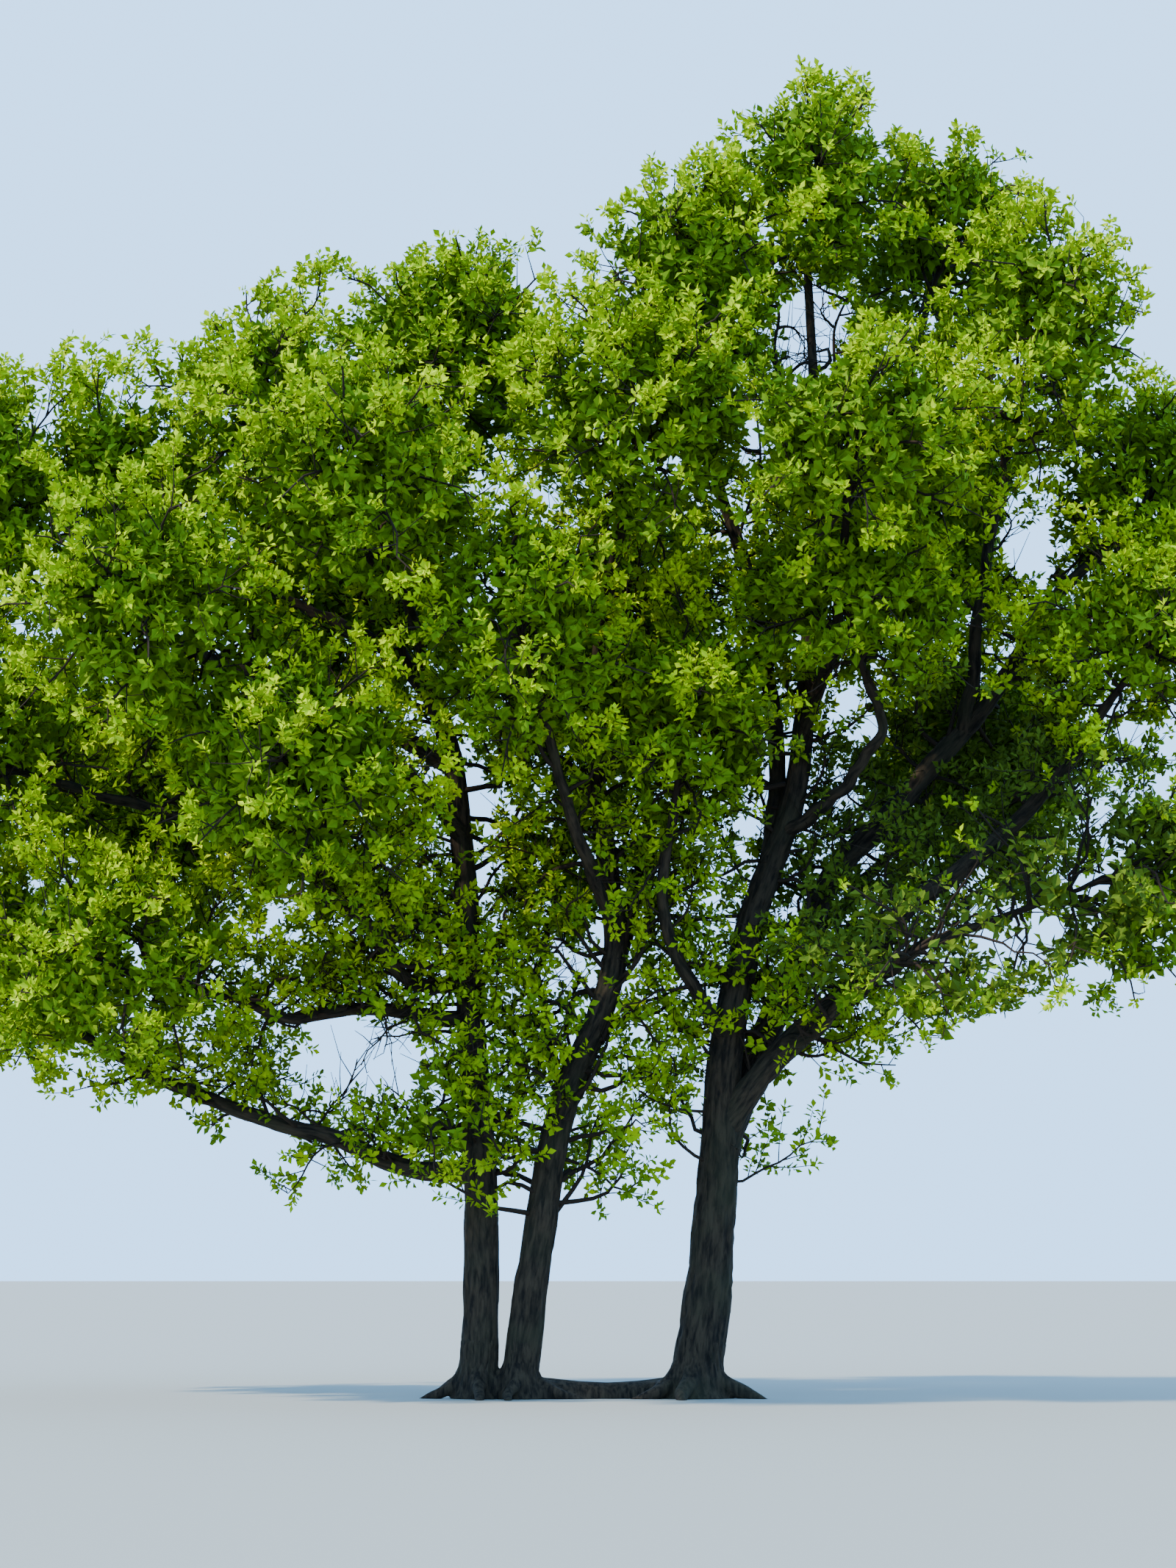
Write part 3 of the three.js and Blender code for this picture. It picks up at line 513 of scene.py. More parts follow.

# %% [markdown]
# ## Bark
# Old oak bark is a hard cork, split by growth into long plates with deep furrows between
# them, 30 to 60 mm apart on a stem. It is matt and dark grey-brown, with a faint green film
# of algae, and the furrows are painted darker than the plates, as painted shade. A photograph
# could be wrapped round, but it would stretch at every bend. Here the pattern is worked out
# from noise that is drawn long in the direction of the limb. The mesh carries that direction
# as an attribute, the same one that cut its relief.

# %% Bark material
def mixed(tree, factor, low, high):
    return add(tree, "ShaderNodeMix", {"Factor": factor, 6: low, 7: high}, data_type="RGBA").outputs[2]


def oak_bark(name, plate_mm, furrow, plate, film):
    material = plain(name, plate, 0.92, 0.2)
    tree = material.node_tree
    shader = tree.nodes["Principled BSDF"]
    run = add(tree, "ShaderNodeAttribute", attribute_name="bark_run").outputs["Vector"]
    drawn = add(tree, "ShaderNodeMapping", {"Vector": run, "Scale": (1, 1, 0.2)}).outputs["Vector"]
    plates = noise(tree, drawn, 1000 / plate_mm, 3.0, Roughness=0.6, Distortion=0.3)
    # The furrows, low in the same noise that makes the bump, are painted darker: painted shade in them.
    tone_with_painted_furrow_shade = mixed(tree, ranged(tree, plates, 0.36, 0.62), linear(furrow), linear(plate))
    patches = ranged(tree, noise(tree, run, 1.6, 4.0), 0.48, 0.72, 0.0, 0.55)
    colour = mixed(tree, patches, tone_with_painted_furrow_shade, linear(film))
    bump = add(tree, "ShaderNodeBump", {"Height": plates, "Strength": 0.7, "Distance": 0.02})
    tree.links.new(colour, shader.inputs["Base Color"])
    tree.links.new(bump.outputs["Normal"], shader.inputs["Normal"])
    return material


# Its colours: the furrows' painted shade, the plates, and the film of algae.
old_bark = oak_bark("furrowed_oak_bark", 55, "#120e0a", "#382e22", "#2f2f1f")
print("bark material:", old_bark.name)

# %% [markdown]
# ## Limbs from a rule
# One Geometry Nodes tree makes every stem and bough. A row of points becomes a curve, a
# circle runs along it with the radius stored on each point, and the skin is then pushed in
# where the noise has a furrow. Blender could also bevel a curve, but then it would keep no
# record of how far round and how far along each point lies, and the furrows need both.

# %% The tree that makes a limb
def ring(tree, sides):
    return add(tree, "GeometryNodeCurvePrimitiveCircle", {"Resolution": sides, "Radius": 1.0},
        mode="RADIUS").outputs[0]


def finished(tree, made, bark):
    """The end of a tree for wood: smooth shading, real geometry, and its bark."""
    for kind, more in (("SetShadeSmooth", {}), ("RealizeInstances", {}), ("SetMaterial", {"Material": bark})):
        made = add(tree, f"GeometryNode{kind}", {"Geometry": made, **more}).outputs[0]
    add(tree, "NodeGroupOutput", {0: made})
    return tree


def limb_tree():
    tree, given = new_tree("limb_with_bark", {"Line": "Geometry", "Sides": "Int", "Ring Spacing": "Float",
        "Furrow Spacing": "Float", "Furrow Depth": "Float", "Unevenness": "Float", "Bark": "Material"})
    curve = add(tree, "GeometryNodeMeshToCurve", {0: given["Line"]}).outputs[0]
    even = add(tree, "GeometryNodeResampleCurve", {"Curve": curve, "Length": given["Ring Spacing"]},
        mode="LENGTH").outputs[0]
    place = add(tree, "GeometryNodeSplineParameter").outputs
    angle = reckon(tree, "MULTIPLY", place["Factor"], 2 * math.pi)
    radius, around = stored(tree, "thickness"), stored(tree, "around")
    skin = add(tree, "GeometryNodeCurveToMesh", {"Curve": keep(tree, even, "along", place["Length"]),
        "Profile Curve": keep(tree, ring(tree, given["Sides"]), "around", angle), "Scale": radius,
        "Fill Caps": True}).outputs[0]
    x, y = (reckon(tree, "MULTIPLY", reckon(tree, part, around), radius) for part in ("COSINE", "SINE"))
    z = reckon(tree, "ADD", stored(tree, "along"), stored(tree, "seed"))
    run = add(tree, "ShaderNodeCombineXYZ", {0: x, 1: y, 2: z}).outputs[0]
    drawn = add(tree, "ShaderNodeVectorMath", {0: run, 1: (1.0, 1.0, 0.16)}, operation="MULTIPLY")
    often = reckon(tree, "DIVIDE", 1.0, given["Furrow Spacing"])
    folds = noise(tree, drawn.outputs[0], often, 1.0, Distortion=0.4)
    near = reckon(tree, "ABSOLUTE", reckon(tree, "SUBTRACT", folds, 0.5))
    furrow = reckon(tree, "MULTIPLY", ranged(tree, near, 0.0, 0.09, -1.0, 0.35), given["Furrow Depth"])
    swell = reckon(tree, "SUBTRACT", noise(tree, run, 1.8, 1.0), 0.5)
    swing = reckon(tree, "MULTIPLY", swell, given["Unevenness"])
    amount = reckon(tree, "MULTIPLY", reckon(tree, "ADD", swing, furrow), radius)
    normal = add(tree, "GeometryNodeInputNormal").outputs[0]
    offset = add(tree, "ShaderNodeVectorMath", {0: normal, 3: amount}, operation="SCALE").outputs[0]
    marked = keep(tree, skin, "bark_run", run, "FLOAT_VECTOR")
    moved = add(tree, "GeometryNodeSetPosition", {"Geometry": marked, "Offset": offset}).outputs[0]
    return finished(tree, moved, given["Bark"])


limb_skin = limb_tree()


# %% Stems and boughs in bark
def line_object(lines, radii, seeds):
    """An object of plain edges: one row of points for each line, with its radius and its seed."""
    counts = [len(line) for line in lines]
    starts = np.r_[0, np.cumsum(counts)[:-1]]
    edges = [np.column_stack([np.arange(n - 1), np.arange(1, n)]) + s for n, s in zip(counts, starts)]
    mesh = bpy.data.meshes.new("lines")
    mesh.from_pydata(np.vstack(lines), np.vstack(edges).tolist(), [])
    mark(mesh, "thickness", np.concatenate(radii))
    mark(mesh, "seed", np.repeat(seeds, counts))
    return put("lines", mesh)


def unevenly(path, amount, seed):
    """The path with slow sideways swings, as a limb has that grew towards changing light."""
    random = np.random.default_rng(seed)
    run = np.linspace(0, 1, len(path))
    swing = np.zeros_like(path)
    for turns in (3, 7, 13):
        side = random.normal(0, 1 / turns**0.7, 3)
        swing += side * np.sin(run[:, None] * turns * math.pi + random.uniform(0, 6, 3))
    fade = np.minimum(1, np.minimum(run, 1 - run) * 8)[:, None]
    return path + swing * fade * amount


def in_bark(piece, names, amount, first_seed, bark_seeds, settings):
    some = [limbs[name] for name in names]
    for i, limb in enumerate(some):
        limb["path"] = unevenly(limb["path"], amount, first_seed + i)
    lines = line_object([limb["path"] for limb in some], [limb["radius"] for limb in some], bark_seeds)
    return grown(lines, limb_skin, {**settings, "Bark": old_bark}, piece)


stems = in_bark("stems_in_bark", STEMS, 0.022, 40, [0.0, 31.0, 67.0], {"Sides": 56,
    "Ring Spacing": 0.09, "Furrow Spacing": 0.1, "Furrow Depth": 0.075, "Unevenness": 0.22})
boughs = in_bark("boughs_in_bark", BOUGHS, 0.05, 60, 5.0 * np.arange(len(BOUGHS)), {"Sides": 20,
    "Ring Spacing": 0.08, "Furrow Spacing": 0.06, "Furrow Depth": 0.09, "Unevenness": 0.4})

# %% [markdown]
# ## The root stool
# Where the stems meet the ground each one flares into ridges that run on as roots, and a low
# saddle of wood joins the three. Such a form has no main direction, so a few tapering tubes
# are laid into one another and melted together by the Remesh modifier, and then cut flat.

# %% Root stool
ROOTS = 5  # round each stem
FOOT_HEIGHTS = np.array([-0.14, 0.0, 0.12, 0.26, 0.45, 0.7])
SADDLE = 0.26  # its radius


def tube(shape, points, radii, sides):
    points = np.array(points, float)
    rows = []
    for i, (point, radius) in enumerate(zip(points, radii)):
        ahead = unit(points[min(i + 1, len(points) - 1)] - points[max(i - 1, 0)])
        first = unit(np.cross(ahead, (0.31, 0.95, 0.02)))
        second = np.cross(ahead, first)
        turns = np.linspace(0, 2 * math.pi, sides, endpoint=False)
        rows.append([shape.verts.new(point + radius * (first * math.cos(a) + second * math.sin(a)))
            for a in turns])
    for low, high in zip(rows, rows[1:]):
        for k in range(sides):
            shape.faces.new((low[k], low[(k + 1) % sides], high[(k + 1) % sides], high[k]))
    shape.faces.new(rows[0][::-1])
    shape.faces.new(rows[-1])


shape = bmesh.new()
random = np.random.default_rng(11)
feet = []
for name, ((girth, _), *_) in STEMS.items():
    path = limbs[name]["path"]
    foot = path[0] * (1, 1, 0)
    feet.append(foot)
    places = [foot + (0, 0, z) if z < 0.2 else path[np.argmax(path[:, 2] > z)] for z in FOOT_HEIGHTS]
    flare = 0.965 + 0.75 * np.clip(1 - (FOOT_HEIGHTS + 0.14) / 0.62, 0, 1) ** 2
    tube(shape, places, girth * flare, 32)
    for i in range(ROOTS):
        angle = (i + 0.5 * random.uniform()) * 2 * math.pi / ROOTS + 0.6
        out = np.array([math.cos(angle), math.sin(angle), 0])
        run = girth * 1.2 + 0.62 * random.uniform(0.6, 1.0)
        side = np.array([-out[1], out[0], 0]) * random.uniform(-0.14, 0.14)
        bends = [foot + out * girth * 0.45 + (0, 0, 0.5), foot + out * girth + (0, 0, 0.19),
            foot + out * (girth + run * 0.35) + side + (0, 0, 0.06),
            foot + out * (girth + run * 0.8) + (0, 0, -0.07)]
        tube(shape, bends, [girth * 0.3, girth * 0.42, girth * 0.3, 0.04], 14)
for low, high in zip(feet, feet[1:]):
    places = [between(low, high, share) + (0, 0, 0.03) for share in np.linspace(0, 1, 7)]
    tube(shape, places, SADDLE * (0.78 + 0.14 * np.cos(np.linspace(0, 2 * math.pi, 7))), 20)
source = put("stool_pieces", as_mesh(shape, "stool_pieces"))
melt = source.modifiers.new("melt", "REMESH")
melt.mode = "VOXEL"
melt.voxel_size = 0.024
soften = source.modifiers.new("soften", "SMOOTH")
soften.iterations = 6
melted = baked(source)

# %% Flat cut and relief of the stool
RELIEF = 0.008  # how far the ridges of bark stand out

shape = bmesh.new()
shape.from_mesh(melted)
shape.normal_update()
spots = np.array([v.co for v in shape.verts])
waves = np.zeros(len(spots))
for i, foot in enumerate(feet):
    x, y, z = (spots - foot).T
    angle = np.arctan2(y, x)
    ridges = np.sin(angle * 17 + 3 * np.sin(z * 9 + i)) + 0.6 * np.sin(angle * 31 + z * 7)
    waves += np.exp(-(np.hypot(x, y) / 0.6) ** 2) * ridges
for vertex, wave in zip(shape.verts, waves):
    vertex.co += vertex.normal * RELIEF * float(wave)
whole = shape.verts[:] + shape.edges[:] + shape.faces[:]
cut = bmesh.ops.bisect_plane(shape, geom=whole, plane_co=(0, 0, 0), plane_no=(0, 0, 1), clear_inner=True)
rim = [e for e in cut["geom_cut"] if isinstance(e, bmesh.types.BMEdge)]
bmesh.ops.holes_fill(shape, edges=rim, sides=0)
bmesh.ops.triangulate(shape, faces=[f for f in shape.faces if len(f.verts) > 4])
for face in shape.faces:
    face.smooth = True
mesh = as_mesh(shape, "root_stool_in_bark")
places = np.array([v.co for v in mesh.vertices])
mark(mesh, "bark_run", places + (0, 0, 97), "FLOAT_VECTOR")
mesh.materials.append(old_bark)
stool = put("root_stool_in_bark", mesh)
print("stool:", len(mesh.polygons), "faces, lowest point", round(float(places[:, 2].min()), 4))

# %% [markdown]
# ## Twigs by a rule
# Past the end of a bough the wood forks again and again. In each mass a stem runs on from the
# bough's tip, side branches leave it evenly turned by the golden angle, as an oak's buds are,
# shoots leave those, and short spurs leave the shoots. A branch that would leave its mass's
# space stops short, so the crown keeps its outline and its openings.

# %% Growing a mass
GOLDEN = math.pi * (3 - math.sqrt(5))
UP = np.array([0.0, 0.0, 1.0])
LEAF_ROOM = 0.2  # what a spray needs between its root and the edge of the whole
BRANCHES = 5.8  # in a mass, for each square metre of its mean reach squared
BRANCH_END = 1.12  # how far out in a mass a branch aims
BRANCH_BRIDGE = 1.2  # how far it runs where another mass is as near
SPACING = 0.16  # between shoots on a branch, and between spurs on a shoot
SHORTEST = 0.14  # where a shoot has less room, none grows
ALONG_SPUR = (1.0, 0.66, 0.33)  # where a spur carries sprays
SHADE_SHARE = 0.7  # of the ends in the shade that still carry leaves
UNVEILED = 0.4  # of the shoots that keep clear of the veiled openings too
SIZE, DEPTH, LIFT = 6, 7, 8  # columns of the sprays, after their places and headings

# Side shoots of each kind: the shares of a path between which they leave it, how unevenly,
# their angle to it, the turn from one to the next, and how far they bend up.
SHOOT = ((0.22, 0.98), 0.8, (0.7, 1.05), GOLDEN, 0.3)
SPUR = ((0.3, 0.95), 0.7, (0.7, 1.1), 2.6, 0.35)


class Growth:
    """What has grown so far: lines of wood with radii, and places for sprays of leaves."""

    def __init__(self):
        self.thick, self.thin, self.sprays = [], [], []

    def spray(self, places, headings, sizes, depth, lift):
        self.sprays.append(np.column_stack([places, headings, sizes, depth, lift]))


def turned(axis, away, around):
    """Unit directions at an angle away from each axis, round it by a second angle."""
    helper = np.where(np.abs(axis[:, 2:3]) > 0.95, (1.0, 0.0, 0.0), UP)
    first = unit(np.cross(helper, axis))
    second = np.cross(axis, first)
    away, around = np.atleast_1d(away)[:, None], np.atleast_1d(around)[:, None]
    return unit(axis * np.cos(away) + (first * np.cos(around) + second * np.sin(around)) * np.sin(away))


def side_ways(path, kind, count, random, first=None):
    """Where side shoots of a kind leave a path, which way they go, and the shares along it."""
    ends, jitter, angles, step, rise = kind
    shares = spread(*ends, count, jitter, random)
    foot, course = at(path, shares)
    away = random.uniform(*angles, count)
    around = np.arange(count) * step + (random.uniform(0, 6.3) if first is None else first)
    return foot, unit(turned(course, away, around) + UP * rise), shares


def room(space, start, heading, most, steps=16):
    """How far each line from a start stays inside the space."""
    shares = np.linspace(0, 1, steps + 1)[1:]
    points = start[:, None] + heading[:, None] * (most[:, None] * shares)[..., None]
    kept = inside(space, points.reshape(-1, 3), FRINGE, BRIDGE, 0.7, CLEAR_OPENINGS)
    return most * np.cumprod(kept.reshape(len(start), steps), axis=1).sum(axis=1) / steps


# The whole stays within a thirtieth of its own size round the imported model.
spare = 0.03 * (far_corner - near_corner) - LEAF_ROOM
nearest_end, furthest_end = near_corner - spare, far_corner + spare * (1, 1, 0.3)


def leafy(space, ends, random):
    """Which ends carry leaves, with their depth and their height in the clump."""
    depth = depth_in(space, ends)
    lift, clumped, edge = clump_at(ends)
    shaded = (depth < SHADE) & (random.uniform(0, 1, len(ends)) < SHADE_SHARE)
    held = np.all((ends > nearest_end) & (ends < furthest_end), axis=1)
    openings = OPENINGS if random.uniform() < UNVEILED else CLEAR_OPENINGS
    held &= inside(space, ends, edge, BRIDGE, random.uniform(0.7, 1.08), openings)
    return held & (clumped & (depth >= SHADE) | shaded) & ~thinned(ends, random), depth, lift


def side_shoots(growth, space, path, random, reach):
    """Shoots along one branch, with short spurs, and sprays of leaves on their ends."""
    count = max(3, round(np.linalg.norm(np.diff(path, axis=0), axis=1).sum() / SPACING))
    root, heading, share = side_ways(path, SHOOT, count, random)
    long = room(space, root, heading, reach * (1.15 - 0.55 * share) * random.uniform(0.7, 1.2, count))
    kept = long > SHORTEST
    for start, way, size in zip(root[kept], heading[kept], long[kept]):
        rise = UP * 0.12 * size + random.normal(0, 0.05, 3) * size
        shoot = bezier(start, start + way * size * 0.5 - rise * 0.5, start + way * size + rise, 3)
        spurs = max(2, round(size / SPACING))
        foot, aside, shares = side_ways(shoot, SPUR, spurs, random)
        tips = foot + aside * random.uniform(0.15, 0.29, (spurs, 1))
        ends = np.vstack([between(foot, tips, part) for part in ALONG_SPUR])
        ways = np.tile(aside, (len(ALONG_SPUR), 1))
        ends[spurs:] += random.normal(0, 0.03, ends[spurs:].shape)
        ways[spurs:] += random.normal(0, 0.6, ends[spurs:].shape)
        ends, ways = np.vstack([ends, shoot[-1:]]), np.vstack([ways, way[None]])
        taken, depth, lift = leafy(space, ends, random)
        taken[:-1] &= np.tile(taken[:spurs], len(ALONG_SPUR))
        if not taken.any():
            continue
        reached = 1.0 if taken[-1] else shares[taken[:spurs]].max()
        growth.thin.append((at(shoot, np.linspace(0, reached, 3))[0], np.linspace(0.011, 0.005, 3)))
        for a, b in zip(foot[taken[:spurs]], tips[taken[:spurs]]):
            growth.thin.append((np.array([a, b]), np.array([0.006, 0.004])))
        sizes = random.uniform(0.85, 1.2, taken.sum())
        growth.spray(ends[taken], ways[taken], sizes, depth[taken], lift[taken])


def grow_mass(name, index):
    space = spaces[name]
    random = np.random.default_rng(100 + index * 17)
    _, _, *carried = MASSES[name]
    limb = limbs[carried[0] if carried else space["limb"]]
    path, tip = limb["path"], limb["radius"][-1]
    start, heading = path[-1], unit(path[-1] - path[-4])
    if len(carried) > 1:
        start = path[np.argmax(path[:, 2] > carried[1])]
        heading, tip = unit(space["middle"] - start), 0.03
    finish = start + (space["middle"] - start) * 1.3
    stem = bezier(start, start + heading * np.linalg.norm(finish - start) * 0.4, finish, 12)
    growth = Growth()
    growth.thick.append((stem, np.linspace(tip * 0.98, tip * 0.42, 12)))
    mean = space["reach"].mean()
    count = max(5, round(BRANCHES * mean**2))
    height = 1 - (2 * np.arange(count) + 1) / count
    angle = np.arange(count) * GOLDEN + index
    flat = np.sqrt(1 - height**2)
    ways = np.column_stack([np.cos(angle) * flat, np.sin(angle) * flat, height])
    ways = ways[np.argsort(ways @ heading)]
    roots, courses = at(stem, np.linspace(0.12, 1.0, count))
    for root, course, way in zip(roots, courses, ways):
        outer = space["middle"] + way * space["reach"] * BRANCH_END
        long = np.linalg.norm(outer - root)
        control = root + course * long * 0.25 + (outer - root) * 0.25 + UP * long * 0.1
        branch = bezier(root, control, outer, 9)
        branch[1:-1] += random.normal(0, 0.028 * long, (7, 3))
        stays = np.cumprod(inside(space, branch, 1.0, BRANCH_BRIDGE) | (np.arange(9) < 2)).sum()
        if stays < 4:
            continue
        branch, _ = even_path(branch[:stays], 8)
        growth.thick.append((branch, np.linspace(0.026, 0.009, 8) * (0.7 + 0.3 * mean / 2)))
        side_shoots(growth, space, branch, random, 0.44 * mean)
        end = branch[-1:]
        growth.spray(end, end - branch[-2:-1], np.ones(1), depth_in(space, end), np.ones(1))
    return growth


growths = {name: grow_mass(name, i) for i, name in enumerate(MASSES)}
print("sprays in the masses:", sum(len(s) for g in growths.values() for s in g.sprays))

# %% [markdown]
# ## Branches inside the crown
# Old oaks break into twisted side branches and tufts of shoots all along their shaded limbs.
# They are thin and carry few leaves, so the sky shows between the stems. They follow the
# same rule, but turn more sharply as they grow.

# %% Thin branches on the limbs
# For each limb: the shares of its length between which they leave it, how many, how long.
INNER_BRANCHES = {
    "stem_left": (0.2, 0.86, 66, 1.9), "stem_middle": (0.17, 0.93, 86, 2.0),
    "stem_right": (0.17, 0.93, 62, 1.8), "far_left_low": (0.1, 0.92, 30, 1.25),
    "left_low": (0.12, 1.0, 30, 1.35), "far_left": (0.15, 0.9, 24, 1.4),
    "left_front_low": (0.2, 0.95, 28, 1.4), "left_back": (0.2, 0.9, 7, 1.3),
    "middle_thin": (0.2, 0.9, 7, 1.0), "middle_front": (0.2, 0.9, 6, 1.2),
    "middle_back": (0.2, 0.9, 7, 1.3), "right_inner_left": (0.15, 0.9, 9, 1.1),
    "right_long": (0.14, 1.0, 38, 1.4), "right_outer": (0.12, 1.0, 46, 1.4),
    "right_low": (0.2, 0.9, 7, 1.2), "right_low_outer": (0.2, 0.9, 7, 1.2),
    "right_top_left": (0.1, 0.8, 12, 1.1), "right_back": (0.2, 0.9, 6, 1.3),
    "fork_left": (0.1, 0.95, 7, 0.6), "fork_right": (0.1, 0.95, 6, 0.6),
    "fork_far_left": (0.1, 0.95, 9, 0.8), "right_shoulder": (0.3, 1.0, 12, 1.0),
}
LEANING_BACK = ("right_long", "right_outer", "right_low_outer")  # they show dark from the front
LOWEST = 2.6  # where one would hang lower, it turns up again
STEPS = 9  # in which one grows
SHOOTS = 9  # on each of them
INNER_SHOOT = ((0.25, 0.97), 0.8, (0.6, 1.2), GOLDEN, 0.2)


def inner_branches(growth, name, first, last, count, reach, seed):
    random = np.random.default_rng(seed)
    places, _ = at(limbs[name]["path"], spread(first, last, count, 1, random))
    for k, place in enumerate(places):
        angle = k * GOLDEN * 1.3 + random.uniform(0, 1)
        way = np.array([math.cos(angle), math.sin(angle) * 0.8, 0.35])
        if name in LEANING_BACK:
            way[1] = abs(way[1]) + 0.3
        points = [place]
        for _ in range(STEPS):
            way = unit(way + random.normal(0, 0.36, 3) + UP * 0.05)
            if points[-1][2] < LOWEST:
                way[2] = abs(way[2])
            points.append(points[-1] + way * reach * random.uniform(0.6, 1.25) / STEPS)
        points, _ = even_path(np.array(points), 10)
        girth = (0.014 + 0.007 * reach) * random.uniform(0.8, 1.7)
        growth.thick.append((points, np.linspace(girth, 0.007, 10)))
        foot, aside, _ = side_ways(points, INNER_SHOOT, SHOOTS, random, angle)
        for a, b, long in zip(foot, aside, random.uniform(0.25, 0.65, SHOOTS)):
            bend = a + b * long * 0.5 + random.normal(0, 0.06, 3)
            shoot = bezier(a, bend, a + b * long + UP * 0.08, 3)
            growth.thin.append((shoot, np.linspace(0.009, 0.004, 3)))
            if in_opening(shoot, random.uniform(0.4, 1.0)).any():
                continue
            depth = np.full(2, random.uniform(SHADE, 0.85))
            sizes = random.uniform(0.95, 1.3, 2)
            growth.spray(shoot[1:], np.tile(b, (2, 1)), sizes, depth, random.uniform(-1, 0.3, 2))


inner_growth = Growth()
for name in FORKS:
    inner_growth.thick.append((limbs[name]["path"][::10], limbs[name]["radius"][::10]))
for i, (name, branches) in enumerate(INNER_BRANCHES.items()):
    inner_branches(inner_growth, name, *branches, 301 + i)
print("branches inside:", len(inner_growth.thick), "sprays:", sum(len(s) for s in inner_growth.sprays))

# %% [markdown]
# ## Twigs as meshes
# A twig is a few millimetres thick and there are thousands, so each is a tube of three or
# five sides. The tree is the limb's, without furrows: at this size they would never show.
# Young oak bark is smooth and dull, so one plain colour and a low shine are enough for it.

# %% The tree that makes twigs
def twig_tree():
    tree, given = new_tree("twigs", {"Lines": "Geometry", "Sides": "Int", "Ends": "Bool",
        "Bark": "Material"})
    curve = add(tree, "GeometryNodeMeshToCurve", {0: given["Lines"]}).outputs[0]
    radius = stored(tree, "thickness")
    skin = add(tree, "GeometryNodeCurveToMesh", {"Curve": curve, "Scale": radius,
        "Profile Curve": ring(tree, given["Sides"]), "Fill Caps": given["Ends"]}).outputs[0]
    return finished(tree, skin, given["Bark"])


twig_skin = twig_tree()
young_bark = plain("young_twig_bark", "#292018", 0.85, 0.15)

# %% Sides of the crown
# The crown is made in seven parts, each of a few neighbouring masses, so that no mesh grows
# too large.
PARTS = {
    "left_low": ["far_left_low", "left_low", "far_left", "left_front_low", "left_back", "stem_cluster"],
    "left_high": ["far_left_high", "left_outer_high", "left_front", "left_shoulder", "left_front_high"],
    "middle": ["left_back_high", "left_top", "middle_front", "middle_back"],
    "inner": ["middle_low"],
    "top": ["middle", "middle_high", "right_top_left", "right_top", "right_top_right"],
    "right_high": ["right_shoulder", "right_front_high", "right_back_high", "right_inner",
        "right_outer_high"],
    "right_low": ["right_outer", "right_low_outer", "right_low", "right_back"],
}
assert sorted(name for names in PARTS.values() for name in names) == sorted(MASSES)

twigs = {}
for part, names in PARTS.items():
    some = [growths[name] for name in names] + ([inner_growth] if part == "inner" else [])
    made = []
    for kind, sides in (("thick", 5), ("thin", 3)):
        lines, radii = zip(*(line for growth in some for line in getattr(growth, kind)))
        settings = {"Sides": sides, "Ends": kind == "thick", "Bark": young_bark}
        source = line_object(lines, radii, np.zeros(len(lines)))
        made.append(grown(source, twig_skin, settings, f"twigs_{part}_{kind}"))
    with bpy.context.temp_override(active_object=made[0], selected_editable_objects=made):
        bpy.ops.object.join()
    made[0].name = made[0].data.name = f"twigs_{part}"
    twigs[part] = made[0]

# %% [markdown]
# ## Leaves
# An English oak leaf is 80 to 120 mm long, widest past its middle, with rounded lobes, and
# in spring it is a bright yellow-green. Leaves crowd round the end of a twig in a rosette.
# The crown has far too many to model each one, so a leaf here is a little larger than life,
# in two to four faces with a lobe or two, and seven of them make a spray. Leaves in the shade
# grow broader than those in the sun. They are hardly seen, so five larger ones make a spray.

# %% Outlines of leaves
# Corners as shares of the leaf's length: along the midrib, and out from it.
LOBED = {"points": [(0, 0), (0.42, 0.26), (0.56, 0.14), (0.88, 0.25), (1, 0), (0.6, -0.3)],
    "faces": [(0, 2, 1), (0, 4, 2), (2, 4, 3), (0, 5, 4)]}
BLUNT = {"points": [(0, 0), (0.42, 0.27), (0.9, 0.2), (1, -0.08), (0.55, -0.3)],
    "faces": [(0, 2, 1), (0, 3, 2), (0, 4, 3)]}
BROAD = {"points": [(0, 0), (0.55, 0.33), (1, 0), (0.5, -0.33)],
    "faces": [(0, 2, 1), (0, 3, 2)]}


# %% A spray of leaves
def spray_mesh(name, seed, leaves):
    """Leaves round a short twig of 1.3 leaf lengths, the last of them nearly upright."""
    random = np.random.default_rng(seed)
    points, faces = [], []
    for i, leaf in enumerate(leaves):
        long = random.uniform(0.8, 1.15)
        tilt = math.radians(random.uniform(35, 85) if i < len(leaves) - 1 else random.uniform(5, 25))
        angle = i * GOLDEN + random.uniform(-0.3, 0.3)
        out = np.array([math.cos(angle), math.sin(angle), 0.0])
        ahead = out * math.sin(tilt) + UP * math.cos(tilt)
        side = np.cross(UP, out) * (-1) ** i
        above = UP - ahead * (UP @ ahead)
        roll = random.normal(0, 0.6)
        across = side * math.cos(roll) - above * math.sin(roll)
        above = above * math.cos(roll) + side * math.sin(roll)
        foot = UP * (1.3 * i / len(leaves) - 0.85) + ahead * 0.06
        faces += [[len(points) + k for k in face] for face in leaf["faces"]]
        for x, y in leaf["points"]:
            points.append(foot + long * (ahead * x + across * y + above * (0.45 * abs(y) - 0.25 * x * x)))
    mesh = bpy.data.meshes.new(name)
    mesh.from_pydata(points, [], faces)
    return mesh


LEAF_LENGTH = 0.1
SHADE_SIZE = (2.3, 1.4)  # over a spray in the sun, in a mass's middle and at its shade's edge
SUN_KINDS, SHADE_KINDS = 4, 2
sprays = bpy.data.collections.new("sprays")
for i in range(SUN_KINDS + SHADE_KINDS):
    kinds = [BROAD, BLUNT, BROAD, LOBED, BROAD, BLUNT, BROAD] if i < SUN_KINDS else [BROAD] * 5
    mesh = spray_mesh(f"spray_{i}", 500 + i, kinds)
    sprays.objects.link(bpy.data.objects.new(mesh.name, mesh))
